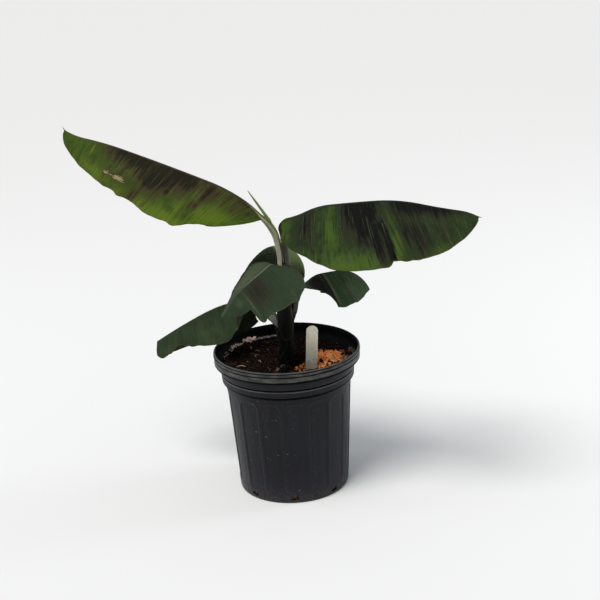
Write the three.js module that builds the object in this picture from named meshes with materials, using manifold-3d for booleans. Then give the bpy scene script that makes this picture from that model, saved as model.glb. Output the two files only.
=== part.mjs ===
// A young banana plant in a round nursery pot, in millimetres, +Z up.
// The origin is the middle of the pot's flat underside. -Y is the front, +X is to the right.
import * as THREE from "three";
import { mergeVertices } from "three/addons/utils/BufferGeometryUtils.js";
import Module from "manifold-3d";

const wasm = await Module();
wasm.setup();

// Driving dimensions: the pot
const GAP = 0.3; // between touching pieces
const POT_HEIGHT = 164;
const RIM_RADIUS = 82.5;
const LIP_RADIUS = 82;
const COLLAR_RADIUS = 75;
const WALL_TOP_RADIUS = 70.5;
const BASE_RADIUS = 62.5;
const FOOT_RADIUS = 60;
const LIP_GROOVE = 158.4; // heights of the pot's steps
const LIP_BOTTOM = 150.5;
const COLLAR_MIDDLE = 139.4;
const COLLAR_BOTTOM = 129;
const HEEL_TOP = 5;
const POT_WALL = 1.8;
const POT_SEGMENTS = 48; // of the soil too
const DRAIN = { holes: 8, width: 9, height: 6, centre: 6.2, depth: 10, sides: 10 };

// Driving dimensions: the soil and the plant label
const STEM_FOOT = 144; // height of the flat soil round the stem
const SOIL_LEVEL = 147;
const SOIL_RADIUS = 73.8;
const PAD_RADIUS = 13;
const DIP_RADIUS = 30; // where the dip round the stem has risen to the soil's level
const HEAP = { x: 32, y: -8, height: 6, spread: 17 };
const LABEL = { width: 12.7, length: 102, thickness: 1, point: 14, tip: 3 };
const LABEL_PLACE = { x: 22.8, y: -33, foot: 97, lean: 4 };

// Driving dimensions: the stem and the leaves
const STEM_TOP = 258;
const STEM_LEAN = 2.6; // how far the axis moves to +X from foot to top
const STEM_START_X = -0.5;
const STEM_RADII = [7.9, 8.3, 9.4, 9.0, 7.7]; // from the soil to the top, at equal steps
const STEM_SIDES = 16;
const STEM_RINGS = 10;
const ROD_SIDES = 6; // of petioles and midribs
const ROD_FLAT = Math.cos(Math.PI / ROD_SIDES); // a rod's reach at its flats, beside its radius
const SPINE_STEPS = 90;
const HALF_COLUMNS = 3;
const ROW_LENGTH = 14; // the longest step between two rows of a blade, or two rings of a rod
const ROW_TURN = 14; // the most that the spine turns in one step, in degrees
const THINNEST_SHARE = 1 / 95; // blade thickness beside the leaf's length
const LEAST_HALF_WIDTH = 1; // at the two ends of a blade
const MIDRIB_END = 0.96; // share of the blade where the midrib stops

/*
 * A leaf is a petiole that runs on as the midrib of its blade.
 * foot: height at which it leaves the stem. onTop: it stands on the stem's top, that far from the axis.
 * turn: the side of the stem that its foot is on, where that isn't the heading.
 * heading: compass angles from +X, counter-clockwise, from foot to tip.
 * bends: slopes above level, each with its distance along the leaf, the last one at the tip.
 * left, right: half widths from the blade's base to its tip, seen along the heading from the stem.
 * sweep: how far the veins lean towards the tip. droop, curl: slope of each half below level at the midrib,
 * and how much steeper it is at the margin.
 */
const LEAVES = {
  leaf_upper_left: {
    foot: STEM_TOP,
    onTop: 4,
    turn: 200,
    heading: [170, 170],
    radius: 3.6,
    petiole: 57,
    bends: [[0, 88], [30, 81], [60, 51], [90, 36], [130, 23], [230, 21], [275, 14], [299, 34]],
    left: [47, 48, 60, 61, 52, 46, 33, 14],
    right: [46, 50, 58, 58, 52, 44, 30, 14],
    sweep: [0.36, 0.27, 0.23, 0.05],
    droop: { left: [42, 42, 40], right: [38, 40, 40] },
    curl: { left: 18, right: 20 },
    baseRound: 0.14,
    tipRound: 0.12,
  },
  leaf_upper_right: {
    foot: STEM_TOP,
    onTop: 4.7,
    turn: 30,
    heading: [-28, -27, -26, -27],
    radius: 3.3,
    petiole: 28,
    bends: [
      [0, 88], [21, 97], [40, 109], [48, 63], [59, 15], [84, 27],
      [115, 9], [167, 7], [219, -8], [261, -4], [282, -25],
    ],
    left: [0, 30, 66, 80, 72, 57, 36, 14],
    right: [0, 34, 70, 81, 72, 54, 33, 14],
    sweep: [-0.5, 0.12, 0.67, 0.8],
    droop: { left: [36, 38, 40], right: [40, 40, 40] },
    curl: { left: 20, right: 20 },
    baseRound: 0.08,
    tipRound: 0.14,
  },
  leaf_back: {
    foot: 225,
    heading: [100, 102, 108],
    radius: 2.6,
    petiole: 30,
    bends: [[0, 80], [25, 66], [50, 12], [74, -12], [98, -30], [123, -45], [148, -55]],
    left: [34, 42, 45, 44, 40, 33, 23, 10],
    right: [40, 46, 48, 46, 42, 34, 24, 10],
    sweep: [0, 0.2, 0.3, 0.4],
    droop: { left: [2, 5, 10], right: [10, 15, 15] },
    curl: { left: 52, right: 62 },
    baseRound: 0.12,
    tipRound: 0.14,
  },
  leaf_front: {
    foot: 234,
    heading: [238, 238],
    radius: 2.8,
    petiole: 28,
    bends: [[0, 88], [22, 90], [34, 23], [46, -11], [72, -9], [103, -14], [128, -31], [143, -27]],
    left: [66, 52, 50, 46, 40, 31, 17, 8],
    right: [8, 22, 23, 20, 16, 12, 9, 6],
    sweep: [0.45, 0.6, 0.46, 0.2],
    droop: { left: [5, 20, 30], right: [-10, 22, 32] },
    curl: { left: 18, right: 10 },
    baseRound: 0.08,
    tipRound: 0.2,
  },
  leaf_lower_left: {
    foot: 184,
    heading: [158, 160],
    radius: 2.4,
    petiole: 44,
    bends: [[0, 68], [20, 36], [40, 28], [60, -13], [86, -25], [111, -30], [176, -34]],
    left: [31, 34, 45, 45, 40, 31, 22, 25, 21],
    right: [48, 52, 48, 45, 40, 34, 29, 26, 22],
    sweep: [-0.15, -0.11, 0.03, 0.53],
    droop: { left: [42, 42, 42], right: [42, 42, 42] },
    curl: { left: 20, right: 20 },
    baseRound: 0.12,
    tipRound: 0.1,
  },
  leaf_lower_right: {
    foot: 203,
    heading: [20, 20],
    radius: 2.4,
    petiole: 29,
    bends: [[0, 58], [15, 72], [30, 62], [40, 35], [55, 2], [75, -1], [95, -31], [126, -68]],
    left: [22, 34, 42, 42, 38, 32, 22, 6],
    right: [15, 27, 44, 42, 38, 32, 22, 8],
    sweep: [0.04, 0.22, 0.31, 0.42],
    droop: { left: [40, 42, 42], right: [42, 42, 42] },
    curl: { left: 20, right: 20 },
    baseRound: 0.14,
    tipRound: 0.2,
  },
};
const FURLED_PARENT = "leaf_upper_left";
const FURLED = { along: 54, pitch: 55, heading: 172, length: 39, radii: [2, 1.4, 0.4] };

const COLOURS = {
  pot: { color: 0x24272a, roughness: 0.5 },
  soil: { color: 0x3a2a20, roughness: 0.95 },
  label: { color: 0xd9d8cf, roughness: 0.45 },
  stem: { color: 0x2f3228, roughness: 0.6 },
  blade: { color: 0x47603a, roughness: 0.55 },
};

const radians = THREE.MathUtils.degToRad;
const part = new THREE.Group();

function material(name) {
  return new THREE.MeshStandardMaterial({ metalness: 0, side: THREE.FrontSide, ...COLOURS[name] });
}

function add(name, geometry, look) {
  const mesh = new THREE.Mesh(geometry, material(look));
  mesh.name = name;
  part.add(mesh);
  return mesh;
}

// A closed mesh as a solid, with doubled points merged, empty faces dropped and its faces pointing out.
function solidOf(geometry) {
  const bare = new THREE.BufferGeometry();
  bare.setAttribute("position", geometry.getAttribute("position"));
  if (geometry.index) bare.setIndex(geometry.index);
  const merged = mergeVertices(bare, 1e-4);
  const faces = [];
  const index = merged.index.array;
  for (let i = 0; i < index.length; i += 3) {
    const [a, b, c] = [index[i], index[i + 1], index[i + 2]];
    if (a !== b && b !== c && c !== a) faces.push(a, b, c);
  }
  const points = merged.getAttribute("position").array;
  const build = (list) => {
    const mesh = new wasm.Mesh({ numProp: 3, vertProperties: points, triVerts: Uint32Array.from(list) });
    return new wasm.Manifold(mesh);
  };
  const solid = build(faces);
  if (solid.volume() > 0) return solid;
  const turned = [];
  for (let i = 0; i < faces.length; i += 3) turned.push(faces[i], faces[i + 2], faces[i + 1]);
  return build(turned);
}

function geometryOf(solid) {
  const mesh = solid.getMesh();
  const positions = new Float32Array(mesh.numVert * 3);
  for (let i = 0; i < mesh.numVert; i++) {
    for (let k = 0; k < 3; k++) positions[3 * i + k] = mesh.vertProperties[mesh.numProp * i + k];
  }
  const geometry = new THREE.BufferGeometry();
  geometry.setAttribute("position", new THREE.BufferAttribute(positions, 3));
  geometry.setIndex(new THREE.BufferAttribute(Uint32Array.from(mesh.triVerts), 1));
  geometry.computeVertexNormals();
  return geometry;
}

// A round body about +Z from its profile of [radius, height] points.
function turned(profile, segments) {
  const points = profile.map(([radius, height]) => new THREE.Vector2(radius, height));
  return new THREE.LatheGeometry(points, segments).rotateX(Math.PI / 2);
}

// A body through rings of points, all with the same count, closed by a fan at each end.
function lofted(rings) {
  const count = rings[0].length;
  const points = Float32Array.from(rings.flat().flatMap((p) => p.toArray()));
  const faces = [];
  for (let i = 0; i + 1 < rings.length; i++) {
    for (let j = 0; j < count; j++) {
      const a = i * count + j;
      const b = i * count + ((j + 1) % count);
      faces.push(a, b, b + count, a, b + count, a + count);
    }
  }
  const last = (rings.length - 1) * count;
  for (let j = 1; j + 1 < count; j++) {
    faces.push(0, j + 1, j);
    faces.push(last, last + j, last + j + 1);
  }
  const geometry = new THREE.BufferGeometry();
  geometry.setAttribute("position", new THREE.BufferAttribute(points, 3));
  geometry.setIndex(faces);
  return geometry;
}

// A smooth run of values through equally spaced stations, for a share t from 0 to 1.
function along(stations, t) {
  const spans = stations.length - 1;
  const x = THREE.MathUtils.clamp(t, 0, 1) * spans;
  const i = Math.min(Math.floor(x), spans - 1);
  const f = x - i;
  const b = stations[i];
  const c = stations[i + 1];
  const a = i === 0 ? 2 * b - c : stations[i - 1];
  const d = i === spans - 1 ? 2 * c - b : stations[i + 2];
  return b + 0.5 * f * (c - a + f * (2 * a - 5 * b + 4 * c - d + f * (3 * (b - c) + d - a)));
}

function stemAxis(height) {
  const share = (height - STEM_FOOT) / (STEM_TOP - STEM_FOOT);
  return new THREE.Vector3(STEM_START_X + STEM_LEAN * share, 0, height);
}

function stemRadius(height) {
  return along(STEM_RADII, (height - STEM_FOOT) / (STEM_TOP - STEM_FOOT));
}

function direction(pitch, heading) {
  const level = Math.cos(radians(pitch));
  return new THREE.Vector3(
    level * Math.cos(radians(heading)),
    level * Math.sin(radians(heading)),
    Math.sin(radians(pitch)),
  );
}

// The slope of a leaf at a distance from its foot, even between two bends.
function slopeAt(leaf, distance) {
  const next = Math.max(leaf.bends.findIndex(([at]) => at >= distance), 1);
  const [from, slope] = leaf.bends[next - 1];
  const [to, nextSlope] = leaf.bends[next];
  return THREE.MathUtils.mapLinear(distance, from, to, slope, nextSlope);
}

// A leaf with its length, and with its spine stepped along its slope and heading from the foot.
function grown(leaf) {
  const length = leaf.bends.at(-1)[0];
  const reach = leaf.onTop ?? stemRadius(leaf.foot) + GAP + leaf.radius * ROD_FLAT;
  const tilt = leaf.radius * Math.abs(Math.cos(radians(slopeAt(leaf, 0))));
  const foot = leaf.onTop ? leaf.foot + GAP + tilt : leaf.foot;
  const spine = [stemAxis(foot).addScaledVector(direction(0, leaf.turn ?? leaf.heading[0]), reach)];
  for (let i = 0; i < SPINE_STEPS; i++) {
    const share = (i + 0.5) / SPINE_STEPS;
    const way = direction(slopeAt(leaf, share * length), along(leaf.heading, share));
    spine.push(spine[i].clone().addScaledVector(way, length / SPINE_STEPS));
  }
  return { ...leaf, length, spine };
}

// Place, way, side to the left and upward normal of a leaf's spine at a distance from its foot.
function frameOf(leaf, distance) {
  const x = THREE.MathUtils.clamp(distance / leaf.length, 0, 1) * SPINE_STEPS;
  const i = Math.min(Math.floor(x), SPINE_STEPS - 1);
  const place = leaf.spine[i].clone().lerp(leaf.spine[i + 1], x - i);
  const heading = along(leaf.heading, distance / leaf.length);
  const way = direction(slopeAt(leaf, distance), heading);
  const side = direction(0, heading + 90);
  const normal = way.clone().cross(side);
  return { place, way, side, normal };
}

// Distances along a leaf, close together where it bends and wider apart where it is straight.
function stations(leaf, from, to) {
  const found = [from];
  const step = leaf.length / SPINE_STEPS;
  for (let distance = from + step; distance < to - step; distance += step) {
    const last = found.at(-1);
    const turn = Math.abs(slopeAt(leaf, distance + step) - slopeAt(leaf, last));
    if (turn > ROW_TURN || distance + step - last > ROW_LENGTH) found.push(distance);
  }
  return [...found, to];
}

// Rises steeply from 0 at x = 0 to 1 at x = 1 as a quarter of a circle does, and stays there.
function rounded(x) {
  const rest = 1 - THREE.MathUtils.clamp(x, 0, 1);
  return Math.sqrt(1 - rest * rest);
}

function halfWidth(leaf, half, u) {
  const ends = rounded(u / leaf.baseRound) * rounded((1 - u) / leaf.tipRound);
  return Math.max(along(leaf[half], u) * ends, LEAST_HALF_WIDTH);
}

// A point of one half of a blade, u along the midrib and v from it to the margin, with the face's normal.
function bladePoint(leaf, half, u, v) {
  const at = frameOf(leaf, leaf.petiole + u * (leaf.length - leaf.petiole));
  const width = halfWidth(leaf, half, u);
  const sign = half === "left" ? 1 : -1;
  const droop = radians(along(leaf.droop[half], u));
  const curl = radians(leaf.curl[half]);
  const slope = droop + curl * v;
  const out = (Math.sin(slope) - Math.sin(droop)) / curl;
  const down = (Math.cos(droop) - Math.cos(slope)) / curl;
  const place = at.place
    .addScaledVector(at.side, sign * width * out)
    .addScaledVector(at.normal, -width * down)
    .addScaledVector(at.way, width * v * along(leaf.sweep, u));
  const tilt = v === 0 ? 0 : slope;
  const normal = at.normal.multiplyScalar(Math.cos(tilt)).addScaledVector(at.side, sign * Math.sin(tilt));
  return { place, normal };
}

// The blade as one thin body: its upper face, and its lower face run back, as rings across the leaf.
function bladeOf(leaf) {
  const thickness = leaf.length * THINNEST_SHARE;
  const rings = stations(leaf, leaf.petiole, leaf.length).map((distance) => {
    const u = (distance - leaf.petiole) / (leaf.length - leaf.petiole);
    const across = [];
    for (let column = -HALF_COLUMNS; column <= HALF_COLUMNS; column++) {
      across.push(bladePoint(leaf, column < 0 ? "right" : "left", u, Math.abs(column) / HALF_COLUMNS));
    }
    const upper = across.map((p) => p.place.clone().addScaledVector(p.normal, thickness / 2));
    const lower = across.map((p) => p.place.clone().addScaledVector(p.normal, -thickness / 2));
    return [...upper, ...lower.reverse()];
  });
  return solidOf(strip(rings));
}

// As lofted, but each ring is a thin band, so its ends are closed band by band.
function strip(rings) {
  const geometry = lofted(rings);
  const count = rings[0].length;
  const half = count / 2;
  const faces = Array.from(geometry.index.array).slice(0, (rings.length - 1) * count * 6);
  const last = (rings.length - 1) * count;
  for (let j = 0; j + 1 < half; j++) {
    const [a, b, c, d] = [j, j + 1, count - 2 - j, count - 1 - j];
    faces.push(a, c, b, a, d, c);
    faces.push(last + a, last + b, last + c, last + a, last + c, last + d);
  }
  geometry.setIndex(faces);
  return geometry;
}

// A tapering rod about a line of frames, each at its share of the radii's run.
function rod(frames, radii) {
  const rings = frames.map((at) => {
    const radius = along(radii, at.share);
    return Array.from({ length: ROD_SIDES }, (_, k) => {
      const turn = (2 * Math.PI * k) / ROD_SIDES;
      return at.place
        .clone()
        .addScaledVector(at.side, radius * Math.cos(turn))
        .addScaledVector(at.normal, radius * Math.sin(turn));
    });
  });
  return solidOf(lofted(rings));
}

// Radii of a petiole and midrib, from the stem to the midrib's end.
function rodRadii(leaf) {
  return [1, 0.8, 0.62, 0.5, 0.38].map((share) => share * leaf.radius);
}

function leafOf(leaf) {
  const end = leaf.petiole + MIDRIB_END * (leaf.length - leaf.petiole);
  const frames = stations(leaf, 0, end).map((distance) => {
    return { ...frameOf(leaf, distance), share: distance / end };
  });
  return geometryOf(bladeOf(leaf).add(rod(frames, rodRadii(leaf))));
}

// The pot in section, up its outside and down its inside.
function potProfile() {
  const inside = (radius) => radius - POT_WALL;
  const outer = [
    [0, 0],
    [FOOT_RADIUS, 0],
    [BASE_RADIUS - 0.7, 1.6],
    [BASE_RADIUS, HEEL_TOP],
    [WALL_TOP_RADIUS, COLLAR_BOTTOM],
    [COLLAR_RADIUS - 1, COLLAR_BOTTOM + 1.6],
    [COLLAR_RADIUS, COLLAR_MIDDLE - 0.8],
    [COLLAR_RADIUS - 0.6, COLLAR_MIDDLE],
    [COLLAR_RADIUS + 0.6, COLLAR_MIDDLE + 0.8],
    [COLLAR_RADIUS + 1.3, LIP_BOTTOM - 1],
    [LIP_RADIUS - 0.8, LIP_BOTTOM],
    [LIP_RADIUS, LIP_GROOVE - 0.6],
    [LIP_RADIUS - 0.4, LIP_GROOVE],
    [RIM_RADIUS, LIP_GROOVE + 1],
    [RIM_RADIUS - 0.2, POT_HEIGHT - 1.6],
    [RIM_RADIUS - 1.2, POT_HEIGHT],
  ];
  const inner = [
    [RIM_RADIUS - 2.6, POT_HEIGHT],
    [inside(LIP_RADIUS), LIP_BOTTOM + 2.4],
    [inside(COLLAR_RADIUS + 1.3), LIP_BOTTOM - 0.4],
    [inside(COLLAR_RADIUS), COLLAR_BOTTOM + 2.6],
    [inside(WALL_TOP_RADIUS), COLLAR_BOTTOM - 0.6],
    [inside(BASE_RADIUS), HEEL_TOP],
    [inside(BASE_RADIUS) - 2, POT_WALL],
    [0, POT_WALL],
  ];
  return [...outer, ...inner];
}

// The pot with a ring of drain holes through the foot of its wall.
function buildPot() {
  let pot = solidOf(turned(potProfile(), POT_SEGMENTS));
  for (let i = 0; i < DRAIN.holes; i++) {
    const hole = new THREE.CylinderGeometry(DRAIN.width / 2, DRAIN.width / 2, DRAIN.depth, DRAIN.sides);
    hole.scale(1, 1, DRAIN.height / DRAIN.width);
    hole.translate(0, -BASE_RADIUS, DRAIN.centre);
    hole.rotateZ((2 * Math.PI * i) / DRAIN.holes);
    pot = pot.subtract(solidOf(hole));
  }
  add("pot", geometryOf(pot), "pot");
}

// The plant label, grown all round by a margin: round above, tapered to a blunt tip below, leant a little.
function labelSolid(margin) {
  const half = LABEL.width / 2 + margin;
  const tip = LABEL.tip / 2 + margin;
  const shoulder = LABEL.length - LABEL.width / 2;
  const shape = new THREE.Shape();
  shape.moveTo(-tip, -margin);
  shape.lineTo(tip, -margin);
  shape.lineTo(half, LABEL.point);
  shape.lineTo(half, shoulder);
  shape.absarc(0, shoulder, half, 0, Math.PI, false);
  shape.lineTo(-half, LABEL.point);
  const depth = LABEL.thickness + 2 * margin;
  const blank = new THREE.ExtrudeGeometry(shape, { depth, bevelEnabled: false, curveSegments: 8 });
  blank.translate(0, 0, -depth / 2);
  blank.rotateX(Math.PI / 2);
  blank.rotateY(radians(LABEL_PLACE.lean));
  blank.translate(LABEL_PLACE.x, LABEL_PLACE.y, LABEL_PLACE.foot);
  return solidOf(blank);
}

// Height of the soil's top: flat round the stem, then its level, with a low heap at the front right.
function groundAt(x, y) {
  const fromStem = Math.hypot(x, y);
  const rise = THREE.MathUtils.smoothstep(fromStem, PAD_RADIUS, DIP_RADIUS);
  const fromHeap = Math.hypot(x - HEAP.x, y - HEAP.y) / HEAP.spread;
  const heap = HEAP.height * Math.exp(-fromHeap * fromHeap);
  return STEM_FOOT + rise * (SOIL_LEVEL - STEM_FOOT + heap);
}

// The soil fills the pot 0.3 mm clear of its wall, and has a slot for the label.
function buildSoil() {
  const clear = POT_WALL + GAP;
  const sides = [
    [0, clear],
    [BASE_RADIUS - clear - 2.2, clear],
    [BASE_RADIUS - clear, HEEL_TOP + 0.3],
    [WALL_TOP_RADIUS - clear, COLLAR_BOTTOM - 0.4],
    [COLLAR_RADIUS - clear, COLLAR_BOTTOM + 3.2],
  ];
  const top = [SOIL_RADIUS, 64, 53, 42, 33, 26, 19, PAD_RADIUS, 0].map((radius) => [radius, SOIL_LEVEL]);
  const soil = turned([...sides, ...top], POT_SEGMENTS);
  const position = soil.getAttribute("position");
  for (let i = 0; i < position.count; i++) {
    if (Math.abs(position.getZ(i) - SOIL_LEVEL) > 1e-3) continue;
    position.setZ(i, groundAt(position.getX(i), position.getY(i)));
  }
  add("soil", geometryOf(solidOf(soil).subtract(labelSolid(GAP))), "soil");
}

// The false stem: round leaf sheaths packed one round another, cut flat at the soil.
function buildStem() {
  const rings = [];
  const foot = STEM_FOOT + GAP;
  for (let i = 0; i <= STEM_RINGS; i++) {
    const height = foot + ((STEM_TOP - foot) * i) / STEM_RINGS;
    const axis = stemAxis(height);
    const radius = stemRadius(height);
    const ring = Array.from({ length: STEM_SIDES }, (_, k) => {
      const turn = (2 * Math.PI * k) / STEM_SIDES;
      return new THREE.Vector3(radius * Math.cos(turn), radius * Math.sin(turn), 0).add(axis);
    });
    rings.push(ring);
  }
  add("pseudostem", geometryOf(solidOf(lofted(rings))), "stem");
}

// The newest leaf, still rolled up, which stands on the petiole of another.
function buildFurledLeaf(parent) {
  const carrier = frameOf(parent, FURLED.along);
  const way = direction(FURLED.pitch, FURLED.heading);
  const side = direction(0, FURLED.heading + 90);
  const normal = way.clone().cross(side);
  const radii = along(rodRadii(parent), FURLED.along / parent.length) + FURLED.radii[0];
  const clear = radii * ROD_FLAT + GAP;
  const foot = carrier.place.clone().addScaledVector(carrier.normal, clear);
  const frames = [0, 0.25, 0.5, 0.75, 1].map((share) => {
    const place = foot.clone().addScaledVector(way, FURLED.length * share);
    return { place, side, normal, share };
  });
  add("furled_leaf", geometryOf(rod(frames, FURLED.radii)), "blade");
}

buildPot();
buildSoil();
add("plant_label", geometryOf(labelSolid(0)), "label");
buildStem();
for (const [name, leaf] of Object.entries(LEAVES)) add(name, leafOf(grown(leaf)), "blade");
buildFurledLeaf(grown(LEAVES[FURLED_PARENT]));

export default part;
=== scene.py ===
import math

import bpy
import numpy as np
from mathutils import Matrix, Vector


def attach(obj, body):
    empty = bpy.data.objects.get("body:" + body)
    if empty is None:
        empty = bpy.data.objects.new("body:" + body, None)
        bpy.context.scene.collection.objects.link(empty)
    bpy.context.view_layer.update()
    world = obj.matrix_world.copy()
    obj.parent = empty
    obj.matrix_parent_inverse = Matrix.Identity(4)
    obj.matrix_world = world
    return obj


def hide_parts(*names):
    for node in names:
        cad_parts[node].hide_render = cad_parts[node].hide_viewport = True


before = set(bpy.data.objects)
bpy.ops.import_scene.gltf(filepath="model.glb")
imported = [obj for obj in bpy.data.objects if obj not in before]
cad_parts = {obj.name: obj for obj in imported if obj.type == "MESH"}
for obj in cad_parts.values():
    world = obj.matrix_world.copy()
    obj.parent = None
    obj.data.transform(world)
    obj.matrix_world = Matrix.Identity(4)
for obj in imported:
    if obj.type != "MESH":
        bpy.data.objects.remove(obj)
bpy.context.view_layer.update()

MM = 0.001
GAP = 0.3  # between touching solids, in mm, as all sizes below unless they say otherwise

# The camera, fitted to the pot's ellipses: the picture is 600 px wide
CAMERA_TARGET = (18.3, 0, 218.1)
CAMERA_DISTANCE = 1500
CAMERA_ELEVATION = 18.52  # degrees
CAMERA_ROLL = -3.41  # degrees
FOCAL_SHARE = 1352 / 600  # focal length beside the picture's width
SENSOR = 36

# The pot
POT_HEIGHT = 164
RIM_RADIUS = 82.5
LIP_RADIUS = 82
COLLAR_RADIUS = 75
WALL_TOP_RADIUS = 70.5
BASE_RADIUS = 62.5
FOOT_RADIUS = 60
LIP_GROOVE = 158.4
LIP_BOTTOM = 150.5
COLLAR_MIDDLE = 140.5
COLLAR_BOTTOM = 129
HEEL_TOP = 5
POT_WALL = 1.8
POT_SEGMENTS = 448
PANELS = 16
PANEL_TURN = math.radians(-7)  # of the first rib from the front
PANEL_DEPTH = 0.55
PANEL_TOP = 122
DRAIN_HOLES = 8
DRAIN_WIDTH = 9
DRAIN_HEIGHT = 6
DRAIN_CENTRE = 6.2

# The soil and the plant label
STEM_FOOT = 144  # where the stem stands on the soil
SOIL_LEVEL = 147
SOIL_RADIUS = 73.8
PAD_RADIUS = 13
DIP_RADIUS = 30
HEAP = (32, -8)
HEAP_HEIGHT = 6
HEAP_SPREAD = 17
LABEL_WIDTH = 12.7
LABEL_LENGTH = 102
LABEL_POINT = 14
LABEL_TIP = 3
LABEL_PLACE = (22.8, -33, 97)
LABEL_LEAN = 4  # degrees
LABEL_EDGE = [(0.98, -0.5), (0.15, -0.5), (0, -0.32), (0, 0.32), (0.15, 0.5), (0.98, 0.5)]  # (inset, depth)

# The stem
STEM_TOP = 258
STEM_LEAN = 2.6
STEM_START_X = -0.5
STEM_RADII = [7.9, 8.3, 9.4, 9.0, 7.7]

# The leaves, by the same rule and values as their solids
ROD_FLAT = math.cos(math.pi / 6)
SPINE_STEPS = 90
LEAVES = {
    "leaf_upper_left": dict(
        foot=STEM_TOP, on_top=4, turn=200, heading=[170, 170], radius=3.6, petiole=57,
        bends=[(0, 88), (30, 81), (60, 51), (90, 36), (130, 23), (230, 21), (275, 14), (299, 34)],
        left=[47, 48, 60, 61, 52, 46, 33, 14], right=[46, 50, 58, 58, 52, 44, 30, 14],
        sweep=[0.36, 0.27, 0.23, 0.05], droop_left=[42, 42, 40], droop_right=[38, 40, 40],
        curl_left=18, curl_right=20, base_round=0.14, tip_round=0.12,
    ),
    "leaf_upper_right": dict(
        foot=STEM_TOP, on_top=4.7, turn=30, heading=[-28, -27, -26, -27], radius=3.3, petiole=28,
        bends=[
            (0, 88), (21, 97), (40, 109), (48, 63), (59, 15), (84, 27),
            (115, 9), (167, 7), (219, -8), (261, -4), (282, -25),
        ],
        left=[0, 30, 66, 80, 72, 57, 36, 14], right=[0, 34, 70, 81, 72, 54, 33, 14],
        sweep=[-0.5, 0.12, 0.67, 0.8], sweep_left=[-0.5, 0.12, 0.5, -0.3],
        droop_left=[36, 38, 40], droop_right=[40, 40, 40],
        curl_left=20, curl_right=20, base_round=0.06, tip_round=0.14,
    ),
    "leaf_back": dict(
        foot=225, heading=[100, 102, 108], radius=2.6, petiole=30,
        bends=[(0, 80), (25, 66), (50, 12), (74, -12), (98, -30), (123, -45), (148, -55)],
        left=[42, 51, 43, 39, 42, 36, 23, 10], right=[60, 63, 63, 62, 58, 46, 32, 13],
        sweep=[0, 0.2, 0.3, 0.4], droop_left=[-7, 12, 16], droop_right=[9, -6, 11],
        curl_left=70, curl_right=105, base_round=0.12, base_left=0.24, tip_round=0.14,
    ),
    "leaf_front": dict(
        foot=234, heading=[238, 238], radius=2.8, petiole=28,
        bends=[(0, 88), (22, 90), (34, 23), (46, -11), (72, -9), (103, -14), (128, -31), (143, -27)],
        left=[66, 52, 50, 46, 40, 31, 17, 8], right=[8, 22, 22, 20, 16, 12, 9, 6],
        sweep=[0.45, 0.6, 0.46, 0.2], droop_left=[5, 20, 30], droop_right=[-10, 22, 32],
        curl_left=18, curl_right=10, base_round=0.08, tip_round=0.2,
    ),
    "leaf_lower_left": dict(
        foot=184, heading=[158, 160], radius=2.4, petiole=44,
        bends=[(0, 68), (20, 36), (40, 28), (60, -13), (86, -25), (111, -30), (176, -34)],
        left=[31, 34, 45, 45, 40, 31, 22, 25, 21], right=[37, 47, 49, 45, 40, 34, 29, 26, 22],
        sweep=[-0.15, -0.11, 0.03, 0.53], droop_left=[42, 42, 42], droop_right=[31, 60, 46],
        curl_left=20, curl_right=20, base_round=0.12, base_right=0.02, tip_round=0.1,
    ),
    "leaf_lower_right": dict(
        foot=203, heading=[20, 20], radius=2.4, petiole=29,
        bends=[(0, 58), (15, 72), (30, 62), (40, 35), (55, 2), (75, -1), (95, -31), (126, -68)],
        left=[22, 34, 42, 42, 38, 32, 22, 6], right=[15, 27, 44, 42, 38, 32, 22, 8],
        sweep=[0.04, 0.22, 0.31, 0.42], droop_left=[40, 42, 42], droop_right=[42, 42, 42],
        curl_left=20, curl_right=20, base_round=0.14, tip_round=0.2,
    ),
}
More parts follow.
